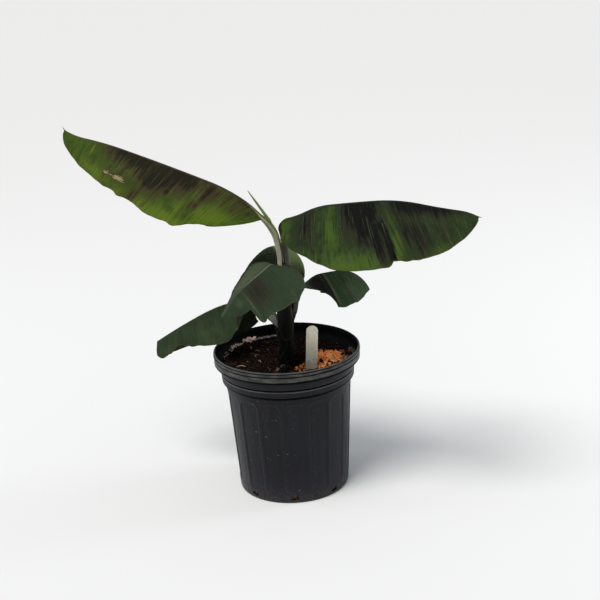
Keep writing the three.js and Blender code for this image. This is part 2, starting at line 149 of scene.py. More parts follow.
# What the leaves have beyond their solids, on the left half (1) or the right half (-1), by u along the blade:
# - folds (half, u, from, depth in mm, width as a share of the blade, slant) run along a vein from a share of
#   the half out to the margin. The steep side is after u where the width is below 0, and u grows by the slant
#   from the margin to the midrib.
# - edges (half, u, share of the half width, reach before, reach after), where a margin runs out or in.
# - wave, how much the margins wave, in mm, and veins, how high they stand beside the other leaves'.
# - hair (length, turn upwards in degrees), the dry hair at the tip.
# - wings (distance, width and depth beside a round rod's), how far the petiole opens.
# - shifts (distance, mm to the right, mm up), how far the petiole's middle stands from the solid's.
DETAILS = {
    "leaf_upper_left": dict(
        folds=[(1, 0.93, 0.1, 1.6, 0.012, 0), (1, 0.33, 0.1, 0.6, 0.008, 0)],
        edges=[
            (1, 0.12, 0.04, 0.05, 0.05), (1, 0.3, 0.04, 0.03, 0.03), (1, 0.61, 0.04, 0.03, 0.02),
            (1, 0.85, 0.03, 0.04, 0.05), (1, 0.97, 0.12, 0.025, 0.05),
        ],
        wave=1.1, hair=(4.5, 50),
        wings=[(0, 1.1, 1.2), (25, 1.3, 1.5), (42, 1.5, 1.75), (58, 1.75, 1.6), (74, 1.1, 1)],
        shifts=[(0, 2, 0), (15, 3.2, 0), (38, 3, 0), (52, 1.4, 0), (64, 0, 0)],
    ),
    "leaf_upper_right": dict(
        folds=[(-1, 0.535, 0.25, 3.4, -0.009, 0.07), (-1, 0.29, 0.75, 0.8, 0.01, 0)],
        edges=[
            (-1, 0.1, -0.16, 0.1, 0.05), (-1, 0.32, -0.025, 0.06, 0.06), (-1, 0.515, 0.025, 0.03, 0.012),
            (-1, 0.538, -0.04, 0.008, 0.05), (-1, 0.78, 0.025, 0.12, 0.1),
        ],
        wave=0.9, hair=(3.5, 15),
        wings=[(0, 1.25, 1.2), (20, 1.4, 1.4), (38, 1.3, 1.6), (54, 1.05, 1)],
        shifts=[(0, 0, 0), (20, -1.2, 0), (42, -2, 0), (60, 0, 0)],
    ),
    "leaf_back": dict(
        folds=[(-1, 0.4, 0.3, 1, 0.02, 0)],
        wave=1.2,
    ),
    "leaf_front": dict(
        folds=[(1, 0.66, 0.2, 1.6, -0.014, -0.03)],
        edges=[(1, 0.684, -0.34, 0.004, 0.16), (1, 0.662, 0.2, 0.09, 0.014), (1, 0.1, 0.12, 0.1, 0.14)],
        wave=1, veins=0.45,
    ),
    "leaf_lower_left": dict(
        folds=[(1, 0.72, 0.4, 1.5, 0.02, 0)],
        edges=[(1, 0.64, 0.05, 0.04, 0.03), (1, 0.82, 0.08, 0.03, 0.02), (1, 0.98, 0.12, 0.02, 1)],
        wave=0.9,
        wings=[(0, 1.4, 3.6), (10, 1.4, 4.2), (22, 1.3, 3.2), (36, 1.2, 1.4), (60, 1, 1)],
        shifts=[(0, 1, 12), (12, 1, 9), (24, 1, 7), (44, 0, 0)],
    ),
    "leaf_lower_right": dict(
        folds=[(-1, 0.295, 0.05, 1.8, 0.02, 0)],
        edges=[(-1, 0.24, 0.08, 0.03, 0.02), (-1, 0.92, 0.1, 0.04, 0.05)],
        wave=0.8,
        wings=[(0, 1.4, 2.4), (16, 1.3, 3.1), (28, 1.2, 2), (45, 1, 1)],
        shifts=[(0, -3, 0), (14, -6.6, 0), (28, -3.6, 0), (42, 0, 0)],
    ),
}
ROUND_WINGS = [(0, 1.3, 1), (20, 1.2, 1), (40, 1, 1)]

# The leaves' colours, linear: dark, fresh and light green, then olive brown and maroon, the midrib seen from
# above, which fades between two places along the blade in cm, and the petiole's side below, painted darker as
# shade, its channel above and its foot.
# threads is how much the pale threads along the veins show, partly a painted highlight on the vein ridges,
# contrast how strong the streaks are, and tints say where a half is maroon, light or dry, and where it
# carries painted shade and painted highlights: (u, v, reach along u, reach along v, strength).
MAROON_AND_SHADE, PALE_AND_HIGHLIGHT, DRY = 0, 1, 2
LOOKS = {
    "leaf_upper_left": dict(
        greens=[(0.028, 0.052, 0.007), (0.058, 0.1, 0.009), (0.092, 0.145, 0.01)],
        reds=[(0.05, 0.036, 0.014), (0.013, 0.0118, 0.005)], rib=(0.1, 0.065, 0.042),
        petiole=[(0.18, 0.16, 0.11), (0.25, 0.29, 0.12), (0.3, 0.28, 0.22)],
        threads=0.4, contrast=1,
        tints={
            (MAROON_AND_SHADE, 1): [
                (0.64, 0, 0.17, 0.42, 1), (0.5, 0.25, 0.085, 0.5, 1), (0.4, 0.1, 0.12, 0.4, 0.9),
                (0.25, 0.2, 0.1, 0.35, 0.5), (0.12, 0.05, 0.08, 0.3, 0.5), (0.555, 0.85, 0.045, 0.4, 0.5),
                (0.43, 0.5, 0.03, 0.15, 0.7), (0.29, 0.55, 0.035, 0.2, 0.55), (0.66, 0.6, 0.09, 0.3, 0.42),
                (0.1, 0.3, 0.12, 0.35, 0.38),
            ],
            # The broad light patches near the left half's margin are painted light, shining through the blade
            # there
            (PALE_AND_HIGHLIGHT, 1): [
                (0.16, 0.75, 0.14, 0.4, 0.85), (0.42, 0.98, 0.25, 0.24, 1), (0.78, 0.85, 0.12, 0.25, 0.7),
                (0.34, 0.7, 0.03, 0.3, 0.6), (0.84, 0.3, 0.006, 0.3, 1), (0.315, 0.27, 0.005, 0.2, 1),
            ],
            (DRY, 1): [(0.72, 0.7, 0.018, 0.06, 1.7), (0.655, 0.7, 0.04, 0.065, 1.7)],
            (MAROON_AND_SHADE, -1): [(0.5, 0.2, 0.25, 0.4, 0.9)],
            (PALE_AND_HIGHLIGHT, -1): [(0.3, 0.9, 0.3, 0.3, 0.6)],
        },
    ),
    "leaf_upper_right": dict(
        greens=[(0.011, 0.02, 0.007), (0.025, 0.047, 0.009), (0.05, 0.093, 0.011)],
        reds=[(0.019, 0.02, 0.009), (0.0028, 0.003, 0.0022)], rib=(0.018, 0.02, 0.012),
        petiole=[(0.02, 0.019, 0.011), (0.09, 0.1, 0.05), (0.042, 0.043, 0.023)],
        threads=0.6, contrast=1,
        tints={
            (MAROON_AND_SHADE, -1): [
                (0.225, 0.3, 0.055, 0.6, 0.58), (0.475, 0.1, 0.075, 0.5, 1.3), (0.51, 0.55, 0.03, 0.4, 1),
                (0.545, 0.55, 0.012, 0.3, 1.4), (0.538, 0.9, 0.009, 0.25, 1.4), (0.7, 0.02, 0.11, 0.3, 1),
                (0.83, 0.02, 0.1, 0.3, 0.9), (0.68, 0.6, 0.09, 0.35, 0.55), (0.82, 0.7, 0.06, 0.4, 0.35),
            ],
            (PALE_AND_HIGHLIGHT, -1): [
                (0.45, 0.95, 0.07, 0.25, 0.9), (0.77, 0.95, 0.12, 0.15, 0.6), (0.635, 0.72, 0.03, 0.1, 0.4),
                (0.1, 0.5, 0.06, 0.6, 0.75), (0.35, 0.45, 0.035, 0.6, 0.7), (0.39, 0.98, 0.1, 0.25, 1),
                (0.25, 0.95, 0.07, 0.2, 0.6), (0.588, 0.6, 0.011, 0.3, 0.8), (0.566, 0.75, 0.012, 0.2, 1.2),
                (0.555, 0.95, 0.012, 0.15, 1.2), (0.95, 0.5, 0.04, 0.4, 0.4),
            ],
            (MAROON_AND_SHADE, 1): [(0.45, 0.3, 0.25, 0.45, 0.9)],
            (PALE_AND_HIGHLIGHT, 1): [(0.4, 0.95, 0.3, 0.25, 0.7)],
        },
    ),
    "leaf_back": dict(
        greens=[(0.01, 0.015, 0.006), (0.02, 0.031, 0.01), (0.092, 0.135, 0.042)],
        reds=[(0.026, 0.024, 0.012), (0.01, 0.008, 0.006)], rib=(0.03, 0.04, 0.018),
        petiole=[(0.05, 0.06, 0.03), (0.09, 0.12, 0.05), (0.06, 0.06, 0.04)],
        threads=0.4, contrast=0.8,
        tints={
            # The right half is painted light over most of it, where its steep, curled lobe would lie in shade
            (PALE_AND_HIGHLIGHT, -1): [(0.3, 0.6, 0.5, 0.9, 1.5)],
            (MAROON_AND_SHADE, 1): [(0.5, 0.4, 0.25, 0.4, 0.4)],
        },
    ),
    "leaf_front": dict(
        greens=[(0.018, 0.031, 0.016), (0.034, 0.053, 0.027), (0.062, 0.082, 0.043)],
        reds=[(0.029, 0.032, 0.018), (0.019, 0.019, 0.012)], rib=(0.16, 0.165, 0.13), rib_fade=(4.5, 7.5),
        petiole=[(0.06, 0.08, 0.05), (0.13, 0.17, 0.1), (0.05, 0.06, 0.04)],
        threads=0.15, contrast=0.35,
        tints={
            (MAROON_AND_SHADE, 1): [(0.46, 0.3, 0.17, 0.5, 0.68), (0.62, 0.6, 0.012, 0.4, 0.5)],
            # The narrow light line at u 0.642 is a painted highlight along the fold
            (PALE_AND_HIGHLIGHT, 1): [
                (0.642, 0.45, 0.012, 0.4, 1.1), (0.75, 0.4, 0.08, 0.4, 0.5), (0.12, 0.85, 0.1, 0.3, 0.35),
                (0.6, 0.95, 0.25, 0.12, 0.3),
            ],
            # The dark band along the right half's margin is painted shade, where that narrow half is seen
            # edge-on from below
            (MAROON_AND_SHADE, -1): [(0.35, 1, 0.45, 0.09, 1.3)],
            (PALE_AND_HIGHLIGHT, -1): [(0.35, 0.5, 0.45, 0.6, 0.9)],
        },
    ),
    "leaf_lower_left": dict(
        greens=[(0.014, 0.023, 0.009), (0.027, 0.043, 0.017), (0.044, 0.068, 0.023)],
        reds=[(0.026, 0.024, 0.012), (0.015, 0.012, 0.008)], rib=(0.06, 0.08, 0.04),
        petiole=[(0.17, 0.19, 0.14), (0.22, 0.26, 0.17), (0.19, 0.195, 0.165)],
        threads=0.25, contrast=0.7,
        tints={
            (MAROON_AND_SHADE, 1): [(0.08, 0.5, 0.06, 0.4, 0.8)],
            (PALE_AND_HIGHLIGHT, 1): [(0.07, 1, 0.07, 0.1, 1.6), (0.45, 0.7, 0.2, 0.4, 0.4)],
            (DRY, 1): [(0.99, 0.5, 0.012, 0.6, 0.8)],
            (MAROON_AND_SHADE, -1): [(0.3, 0.5, 0.2, 0.4, 0.5)],
        },
    ),
    "leaf_lower_right": dict(
        greens=[(0.028, 0.048, 0.02), (0.05, 0.086, 0.034), (0.1, 0.13, 0.075)],
        reds=[(0.026, 0.026, 0.018), (0.014, 0.014, 0.011)], rib=(0.08, 0.1, 0.06),
        petiole=[(0.026, 0.032, 0.015), (0.045, 0.055, 0.03), (0.035, 0.034, 0.024)],
        threads=0.2, contrast=0.6,
        tints={
            # Right half: the maroon at its base and the thin dark line before the fold are partly its own
            # maroon, partly painted shade
            (MAROON_AND_SHADE, -1): [(0.15, 0.5, 0.1, 0.6, 0.95), (0.265, 0.6, 0.018, 0.6, 0.9)],
            # The thin light line at u 0.298 is a painted highlight along the fold
            (PALE_AND_HIGHLIGHT, -1): [(0.298, 0.45, 0.013, 0.5, 1.7), (0.55, 0.6, 0.2, 0.5, 0.5)],
            (MAROON_AND_SHADE, 1): [(0.5, 0.4, 0.2, 0.4, 0.4)],
        },
    ),
}

FURLED_PARENT = "leaf_upper_left"
FURLED = dict(along=54, pitch=55, heading=172, length=39, radii=[2, 1.4, 0.4])
LEAF_HALF_THICKNESS = 0.3
ROW_STEP = 1.25  # between two rows of points of a blade
COLUMNS = 30  # of points in each half of a blade
VEIN_STEP = 5.2  # between the stronger side veins
VEIN_HEIGHT = 0.28
WAVE_LENGTH = 19  # of the margins' waves
RAGGED_LENGTH = 7  # of the margins' small teeth
RAGGED_SHARE = 0.012  # of the half width
SWELL_LENGTH = 26  # of the soft swells all over a blade
SWELL_HEIGHT = 0.5
LEAST_WIDTH = 0.25  # of half a blade, at its tip
ROD_TAPER = [1, 0.8, 0.62, 0.5, 0.3]
ROD_POINTS = 20  # round a petiole
ROD_STEP = 2  # between two rings of a petiole
ROD_END = 0.985  # where along the blade the midrib ends
TOP_RUN = 9  # how far the petiole of a leaf on top of the stem runs down into it
FOOT_RUN = 20  # how far a side leaf's petiole runs on down the stem
FOOT_LEAVES = 3  # how far up the petiole its foot starts to bend into the stem
FOOT_SUNK = 6


# Meshes from arrays

def grid_faces(rows, columns, closed=False):
    """Quads over a grid of points, rows by columns; closed joins the last column to the first."""
    i, j = np.meshgrid(np.arange(rows - 1), np.arange(columns if closed else columns - 1), indexing="ij")
    k = (j + 1) % columns
    quads = [i * columns + j, i * columns + k, (i + 1) * columns + k, (i + 1) * columns + j]
    return np.stack(quads, -1).reshape(-1, 4)


def mesh_object(name, points, faces, materials, material_of=None, attributes=None, smooth=True):
    """An object from points in mm, arrays of faces with 3 or 4 corners each, and values at its points."""
    mesh = bpy.data.meshes.new(name)
    faces = [f for f in faces if len(f)]
    corners = np.concatenate([f.ravel() for f in faces]).astype(np.int32)
    sizes = np.concatenate([np.full(len(f), f.shape[1], np.int32) for f in faces])
    mesh.vertices.add(len(points))
    mesh.vertices.foreach_set("co", (np.asarray(points, float) * MM).astype(np.float32).ravel())
    mesh.loops.add(len(corners))
    mesh.loops.foreach_set("vertex_index", corners)
    mesh.polygons.add(len(sizes))
    mesh.polygons.foreach_set("loop_start", np.concatenate([[0], np.cumsum(sizes)[:-1]]).astype(np.int32))
    mesh.update(calc_edges=True)
    mesh.polygons.foreach_set("use_smooth", np.full(len(sizes), smooth))
    if material_of is not None:
        mesh.polygons.foreach_set("material_index", np.asarray(material_of, np.int32))
    for key, values in (attributes or {}).items():
        values = np.asarray(values, np.float32)
        kind, field = ("FLOAT", "value") if values.ndim == 1 else ("FLOAT_VECTOR", "vector")
        mesh.attributes.new(key, kind, "POINT").data.foreach_set(field, values.ravel())
    mesh.validate()
    made = bpy.data.objects.new(name, mesh)
    bpy.context.scene.collection.objects.link(made)
    for m in materials:
        mesh.materials.append(m)
    return made


def circle(count):
    """Angles evenly all round."""
    return np.linspace(0, 2 * np.pi, count, endpoint=False)


def rings_at(place, side, normal, x, y):
    """Rings of points about places, x to the side and y along the normal."""
    return place[:, None] + side[:, None] * x[..., None] + normal[:, None] * y[..., None]


def capped(rings, ends=None):
    """Points and faces of a tube, closed by a point in the middle of each end."""
    rings = np.asarray(rings)
    rows, columns = rings.shape[:2]
    if ends is None:
        ends = [rings[0].mean(0), rings[-1].mean(0)]
    count = rows * columns
    j = np.arange(columns)
    k = (j + 1) % columns
    first = np.stack([k, j, np.full_like(j, count)], -1)
    last = np.stack([count - columns + j, count - columns + k, np.full_like(j, count + 1)], -1)
    return np.vstack([rings.reshape(-1, 3), ends]), [grid_faces(rows, columns, closed=True), first, last]


def to_ends(values):
    """Values for a capped tube's points, from those of its rings."""
    return np.concatenate([values, values[:1], values[-1:]])


def dress(made, slot, *nodes):
    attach(made, "root")
    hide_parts(*nodes)


# Smooth runs of values, and noise that is the same in each run

def along(stations, t):
    """A smooth run of values through equally spaced stations, for shares t from 0 to 1."""
    v = np.asarray(stations, float)
    spans = len(v) - 1
    x = np.clip(np.asarray(t, float), 0, 1) * spans
    i = np.minimum(x.astype(int), spans - 1)
    f = x - i
    b = v[i]
    c = v[i + 1]
    a = np.where(i == 0, 2 * b - c, v[np.maximum(i - 1, 0)])
    d = np.where(i == spans - 1, 2 * c - b, v[np.minimum(i + 2, spans)])
    return b + 0.5 * f * (c - a + f * (2 * a - 5 * b + 4 * c - d + f * (3 * (b - c) + d - a)))


def smoothstep(x, low, high):
    t = np.clip((np.asarray(x, float) - low) / (high - low), 0, 1)
    return t * t * (3 - 2 * t)


def bump(x, centre, width):
    """1 at the centre, falling smoothly to nothing about two widths away."""
    return np.exp(-(((np.asarray(x, float) - centre) / width) ** 2))


def noise(x, y=0.0, seed=0):
    """Smooth value noise from -1 to 1 at points x, y, with one feature for each unit."""
    x, y = np.broadcast_arrays(np.asarray(x, float), np.asarray(y, float))
    i, j = np.floor(x).astype(np.int64), np.floor(y).astype(np.int64)
    fx, fy = x - i, y - j
    fx, fy = fx * fx * (3 - 2 * fx), fy * fy * (3 - 2 * fy)

    def corner(di, dj):
        h = ((i + di) * 374761393 + (j + dj) * 668265263 + seed * 974711) & 0xFFFFFFFF
        h = ((h ^ (h >> 13)) * 1274126177) & 0xFFFFFFFF
        return ((h ^ (h >> 16)) & 0xFFFF) / 32767.5 - 1

    low = corner(0, 0) * (1 - fx) + corner(1, 0) * fx
    high = corner(0, 1) * (1 - fx) + corner(1, 1) * fx
    return low * (1 - fy) + high * fy


def layers(x, y=0.0, seed=0, count=3):
    """Noise with finer and weaker noise on it."""
    return sum(noise(x * 2**k, y * 2**k, seed + 31 * k) / 2**k for k in range(count)) / 1.75


# The leaf rule

def direction(pitch, heading):
    """Unit vectors from slopes above level and headings round from the right, in degrees."""
    p, h = np.broadcast_arrays(np.radians(pitch), np.radians(heading))
    return np.stack([np.cos(p) * np.cos(h), np.cos(p) * np.sin(h), np.sin(p)], -1)


def stem_axis(height):
    share = (np.asarray(height, float) - STEM_FOOT) / (STEM_TOP - STEM_FOOT)
    return STEM_START_X + STEM_LEAN * share


def stem_radius(height):
    return along(STEM_RADII, (np.asarray(height, float) - STEM_FOOT) / (STEM_TOP - STEM_FOOT))


def slope_at(leaf, distance):
    return np.interp(distance, *np.array(leaf["bends"], float).T)


def grown(name):
    """A leaf with its details, its length and its spine, stepped along its slope and heading."""
    leaf = LEAVES[name] | DETAILS[name]
    length = float(leaf["bends"][-1][0])
    share = (np.arange(SPINE_STEPS) + 0.5) / SPINE_STEPS
    way = direction(slope_at(leaf, share * length), along(leaf["heading"], share))
    height = leaf["foot"]
    if "on_top" in leaf:
        reach = leaf["on_top"]
        height += GAP + leaf["radius"] * abs(math.cos(math.radians(slope_at(leaf, 0))))
    else:
        reach = stem_radius(height) + GAP + leaf["radius"] * ROD_FLAT
    turn = math.radians(leaf.get("turn", leaf["heading"][0]))
    foot = np.array([stem_axis(height) + reach * math.cos(turn), reach * math.sin(turn), height])
    spine = np.vstack([foot, foot + np.cumsum(way, 0) * length / SPINE_STEPS])
    return leaf | dict(length=length, spine=spine, blade=length - leaf["petiole"], turn=turn)


def frames_of(leaf, distance):
    """Places, ways, sides to the left and upward normals along a leaf, also a little before its foot."""
    distance = np.asarray(distance, float)
    at = np.linspace(0, leaf["length"], SPINE_STEPS + 1)
    place = np.stack([np.interp(distance, at, leaf["spine"][:, k]) for k in range(3)], -1)
    share = np.clip(distance / leaf["length"], 0, 1)
    heading = along(leaf["heading"], share)
    way = direction(slope_at(leaf, distance), heading)
    place += np.minimum(distance, 0)[..., None] * way
    side = direction(0 * heading, heading + 90)
    return place, way, side, np.cross(way, side)


def rounded(x):
    rest = 1 - np.clip(x, 0, 1)
    return np.sqrt(1 - rest * rest)


def half_width(leaf, half, u):
    ends = rounded(u / leaf.get("base_" + half, leaf["base_round"])) * rounded((1 - u) / leaf["tip_round"])
    return np.maximum(along(leaf[half], u) * ends, LEAST_WIDTH)


def blade_points(leaf, u, v, relief, ragged):
    """Points and face normals of a blade, u along the midrib and v across, below 0 on the right half."""
    place, way, side, normal = frames_of(leaf, leaf["petiole"] + u * leaf["blade"])
    sign = np.where(v < 0, -1.0, 1.0)
    pick = lambda left, right: np.where(v >= 0, left, right)
    width = pick(half_width(leaf, "left", u), half_width(leaf, "right", u)) * ragged
    droop = np.radians(pick(along(leaf["droop_left"], u), along(leaf["droop_right"], u)))
    curl = np.radians(pick(leaf["curl_left"], leaf["curl_right"]))
    sweep = pick(along(leaf.get("sweep_left", leaf["sweep"]), u), along(leaf["sweep"], u))
    across = np.abs(v)
    slope = droop + curl * across
    out = (np.sin(slope) - np.sin(droop)) / curl
    down = (np.cos(droop) - np.cos(slope)) / curl
    tilt = slope * smoothstep(across, 0, 0.04)
    face = normal * np.cos(tilt)[..., None] + side * (sign * np.sin(tilt))[..., None]
    points = (
        place
        + side * (sign * width * out)[..., None]
        - normal * (width * down)[..., None]
        + way * (width * across * sweep)[..., None]
        + face * relief[..., None]
    )
    return points, face, width * across


def relief_of(leaf, u, v, seed):
    """How far the blade's surface stands out of its smooth form, in mm."""
    across = np.abs(v)
    half = np.where(v < 0, -1, 1)
    run = u * leaf["blade"]
    drift = run / VEIN_STEP + 0.7 * noise(run / 17, half * 3.0, seed)
    veins = VEIN_HEIGHT * (0.6 * noise(2 * drift, half * 5.0, seed + 5) + 0.6 * np.sin(2 * np.pi * drift))
    veins = veins * leaf.get("veins", 1) * smoothstep(across, 0.02, 0.2) * (1 - 0.35 * across)
    swell = SWELL_HEIGHT * layers(run / SWELL_LENGTH, v * 2.2, seed + 9, 2) * smoothstep(across, 0.05, 0.4)
    wave = leaf["wave"] * noise(run / WAVE_LENGTH, half * 7.0, seed + 3) * across**3
    folds = 0
    for side, at, start, depth, width, slant in leaf["folds"]:
        at = at + slant * (1 - across)
        before, after = (width, 9 * width) if width > 0 else (-9 * width, -width)
        step = smoothstep(u, at - before, at) - smoothstep(u, at, at + after)
        folds = folds + np.where(half == side, depth * step * smoothstep(across, start, 1), 0)
    return veins + swell + wave + folds


def blade_mesh(leaf, tints, seed):
    """A blade's upper and lower side, joined at its margins and closed at both ends."""
    rows = int(leaf["blade"] / ROW_STEP) + 1
    u, v = np.meshgrid(np.linspace(0, 1, rows), np.linspace(-1, 1, 2 * COLUMNS + 1), indexing="ij")
    ragged = noise(u * leaf["blade"] / RAGGED_LENGTH, np.sign(v) * 11.0, seed + 1)
    ragged = 1 + RAGGED_SHARE * ragged * np.abs(v) ** 2
    for half, at, share, before, after in leaf.get("edges", []):
        ragged = ragged + np.where(v * half > 0, share * bump(u, at, np.where(u < at, before, after)), 0)
    points, face, across = blade_points(leaf, u, v, relief_of(leaf, u, v, seed), ragged)
    thick = LEAF_HALF_THICKNESS * (1 - 0.45 * np.abs(v))[..., None]
    ring = np.concatenate([points + face * thick, (points - face * thick)[:, ::-1]], 1)
    columns = ring.shape[1]
    j = np.arange(columns // 2 - 1)
    strip = np.stack([j, j + 1, columns - 2 - j, columns - 1 - j], -1)
    faces = [grid_faces(rows, columns, closed=True), strip[:, ::-1], (rows - 1) * columns + strip]
    both = lambda a: np.concatenate([a, a[:, ::-1]], 1).ravel()
    leafwise = np.stack([both(u * leaf["blade"] / 10), both(np.sign(v) * across / 10), both(v)], -1)
    under = np.concatenate([np.zeros_like(u), np.ones_like(u)], 1).ravel()
    values = dict(leaf=leafwise, under=under, tint=tints_of(tints, both(u), both(v)))
    return ring.reshape(-1, 3), faces, values


def rod_radius(leaf, distance):
    end = leaf["petiole"] + 0.96 * leaf["blade"]
    return leaf["radius"] * along(ROD_TAPER, np.clip(distance / end, 0, 1))


def petiole_mesh(leaf, seed):
    """The petiole, channelled above, which runs on in the blade as its midrib."""
    start = -TOP_RUN if "on_top" in leaf else -FOOT_RUN
    distance = np.arange(start, leaf["petiole"] + ROD_END * leaf["blade"], ROD_STEP)
    place, _, side, normal = frames_of(leaf, distance)
    at, aside, up = np.array(leaf.get("shifts", [(0, 0, 0)]), float).T
    place[:, 0] += np.interp(distance, at, aside)
    place[:, 2] += np.interp(distance, at, up)
    u = (distance - leaf["petiole"]) / leaf["blade"]
    radius = rod_radius(leaf, distance) * (1 - 0.75 * smoothstep(u, 0.9, 1))
    if "on_top" not in leaf:
        below = smoothstep(distance, FOOT_LEAVES, start)
        place -= FOOT_SUNK * below[:, None] * direction(0, leaf["heading"][0])
        radius = radius * (1 - 0.6 * below)
    in_blade = smoothstep(u, -0.03, 0.06)
    radius = radius * (1 - 0.35 * in_blade)
    angle = circle(ROD_POINTS)
    rise, up = np.sin(angle), np.maximum(np.sin(angle), 0)
    channelled = np.where(rise < 0, rise, 0.45 * np.sqrt(up) - 0.75 * up**3)
    flat = np.where(rise < 0, rise, 0.3 * rise)
    x = np.cos(angle) * (1 - 0.12 * up)
    y = channelled * (1 - in_blade[:, None]) + (flat - 0.45) * in_blade[:, None]
    rough = 1 + 0.03 * noise(distance[:, None] / 9, angle * 1.3, seed)
    at, wide, deep = np.array(leaf.get("wings", ROUND_WINGS), float).T
    wide, deep = np.interp(distance, at, wide) * radius, np.interp(distance, at, deep) * radius
    rings = rings_at(place, side, normal, x * wide[:, None] * rough, y * deep[:, None] * rough)
    points, faces = capped(rings)
    rows = len(distance)
    above = np.repeat(np.where(rise[None] >= -0.2, 1.0, 0.0), rows, 0).ravel()
    share = np.repeat(np.clip(distance / leaf["petiole"], 0, 2) / 2, ROD_POINTS)
    rodwise = np.stack([np.repeat(distance / 10, ROD_POINTS), np.tile(angle, rows) / 2, above], -1)
    return points, faces, dict(leaf=to_ends(rodwise), share=to_ends(share))


def tints_of(tints, u, v):
    """How maroon, light and dry a leaf is at each of its points, painted shade and highlights among them,
    from 0 to 1.
    """
    found = np.zeros((len(u), 3))
    for (kind, half), spots in tints.items():
        near = np.where(v * half >= -1e-9, 1.0, 0.0)
        for at, across, du, dv, strength in spots:
            spot = bump(u, at, du) * bump(np.abs(v), across, dv) * strength * near
            found[:, kind] = np.maximum(found[:, kind], spot)
    return found


# Materials by nodes

class Tree:
    """A material's node tree, built by short calls. Sockets and plain values both serve as inputs."""

    def __init__(self, name):
        self.material = bpy.data.materials.new(name)
        self.material.use_nodes = True
        self.tree = self.material.node_tree

    def node(self, kind, inputs, **settings):
        made = self.tree.nodes.new("ShaderNode" + kind)
        for key, value in settings.items():
            setattr(made, key, value)
        for key, value in inputs.items():
            self.set(made.inputs[key], value)
        return made.outputs

    def set(self, socket, value):
        if isinstance(value, bpy.types.NodeSocket):
            self.tree.links.new(value, socket)
        else:
            socket.default_value = (*value, 1) if socket.type == "RGBA" else value

    def attribute(self, name, output="Vector"):
        return self.node("Attribute", {}, attribute_name=name)[output]

    def place(self):
        return self.node("TexCoord", {})["Object"]

    def noise(self, vector, scale, detail=3.0, roughness=0.55, distortion=0.0):
        """Noise over a vector, with one scale or one for each axis."""
        if isinstance(scale, tuple):
            vector, scale = self.node("Mapping", {"Vector": vector, "Scale": scale})[0], 1.0
        sockets = {"Vector": vector, "Scale": scale, "Detail": detail, "Roughness": roughness}
        return self.node("TexNoise", sockets | {"Distortion": distortion})["Fac"]

    def math(self, operation, *values):
        return self.node("Math", dict(enumerate(values)), operation=operation)[0]

    def times(self, a, b):
        return self.math("MULTIPLY", a, b)

    def plus(self, a, b):
        return self.math("ADD", a, b)

    def ramp(self, value, low, high, out_low=0.0, out_high=1.0):
        sockets = {"Value": value, "From Min": low, "From Max": high, "To Min": out_low, "To Max": out_high}
        return self.node("MapRange", sockets, interpolation_type="SMOOTHSTEP")[0]

    def mix(self, share, a, b):
        return self.node("Mix", {0: share, 6: a, 7: b}, data_type="RGBA")[2]

    def over(self, colour, share, strength, upper):
        """A colour with another over it, where a share says so."""
        return self.mix(self.times(share, strength), colour, upper)

    def split(self, vector):
        return self.node("SeparateXYZ", {0: vector})

    def relief(self, height, distance, strength, under=None):
        sockets = {"Height": height, "Distance": distance, "Strength": strength}
        return self.node("Bump", sockets | ({"Normal": under} if under else {}))[0]

    def finish(self, colour, roughness, normal=None, specular=0.5):
        """The material with its shader set, and its specular level plain on the shader's own socket."""
        shader = self.tree.nodes["Principled BSDF"].inputs
        self.set(shader["Base Color"], colour)
        self.set(shader["Roughness"], roughness)
        if normal:
            self.set(shader["Normal"], normal)
        shader["Specular IOR Level"].default_value = specular
        return self.material


def plain_material(name, colour, roughness=0.9):
    return Tree(name).finish(colour, roughness, specular=0.1)


def plain_materials(roughness, **colours):
    return [plain_material(name, colour, roughness) for name, colour in colours.items()]


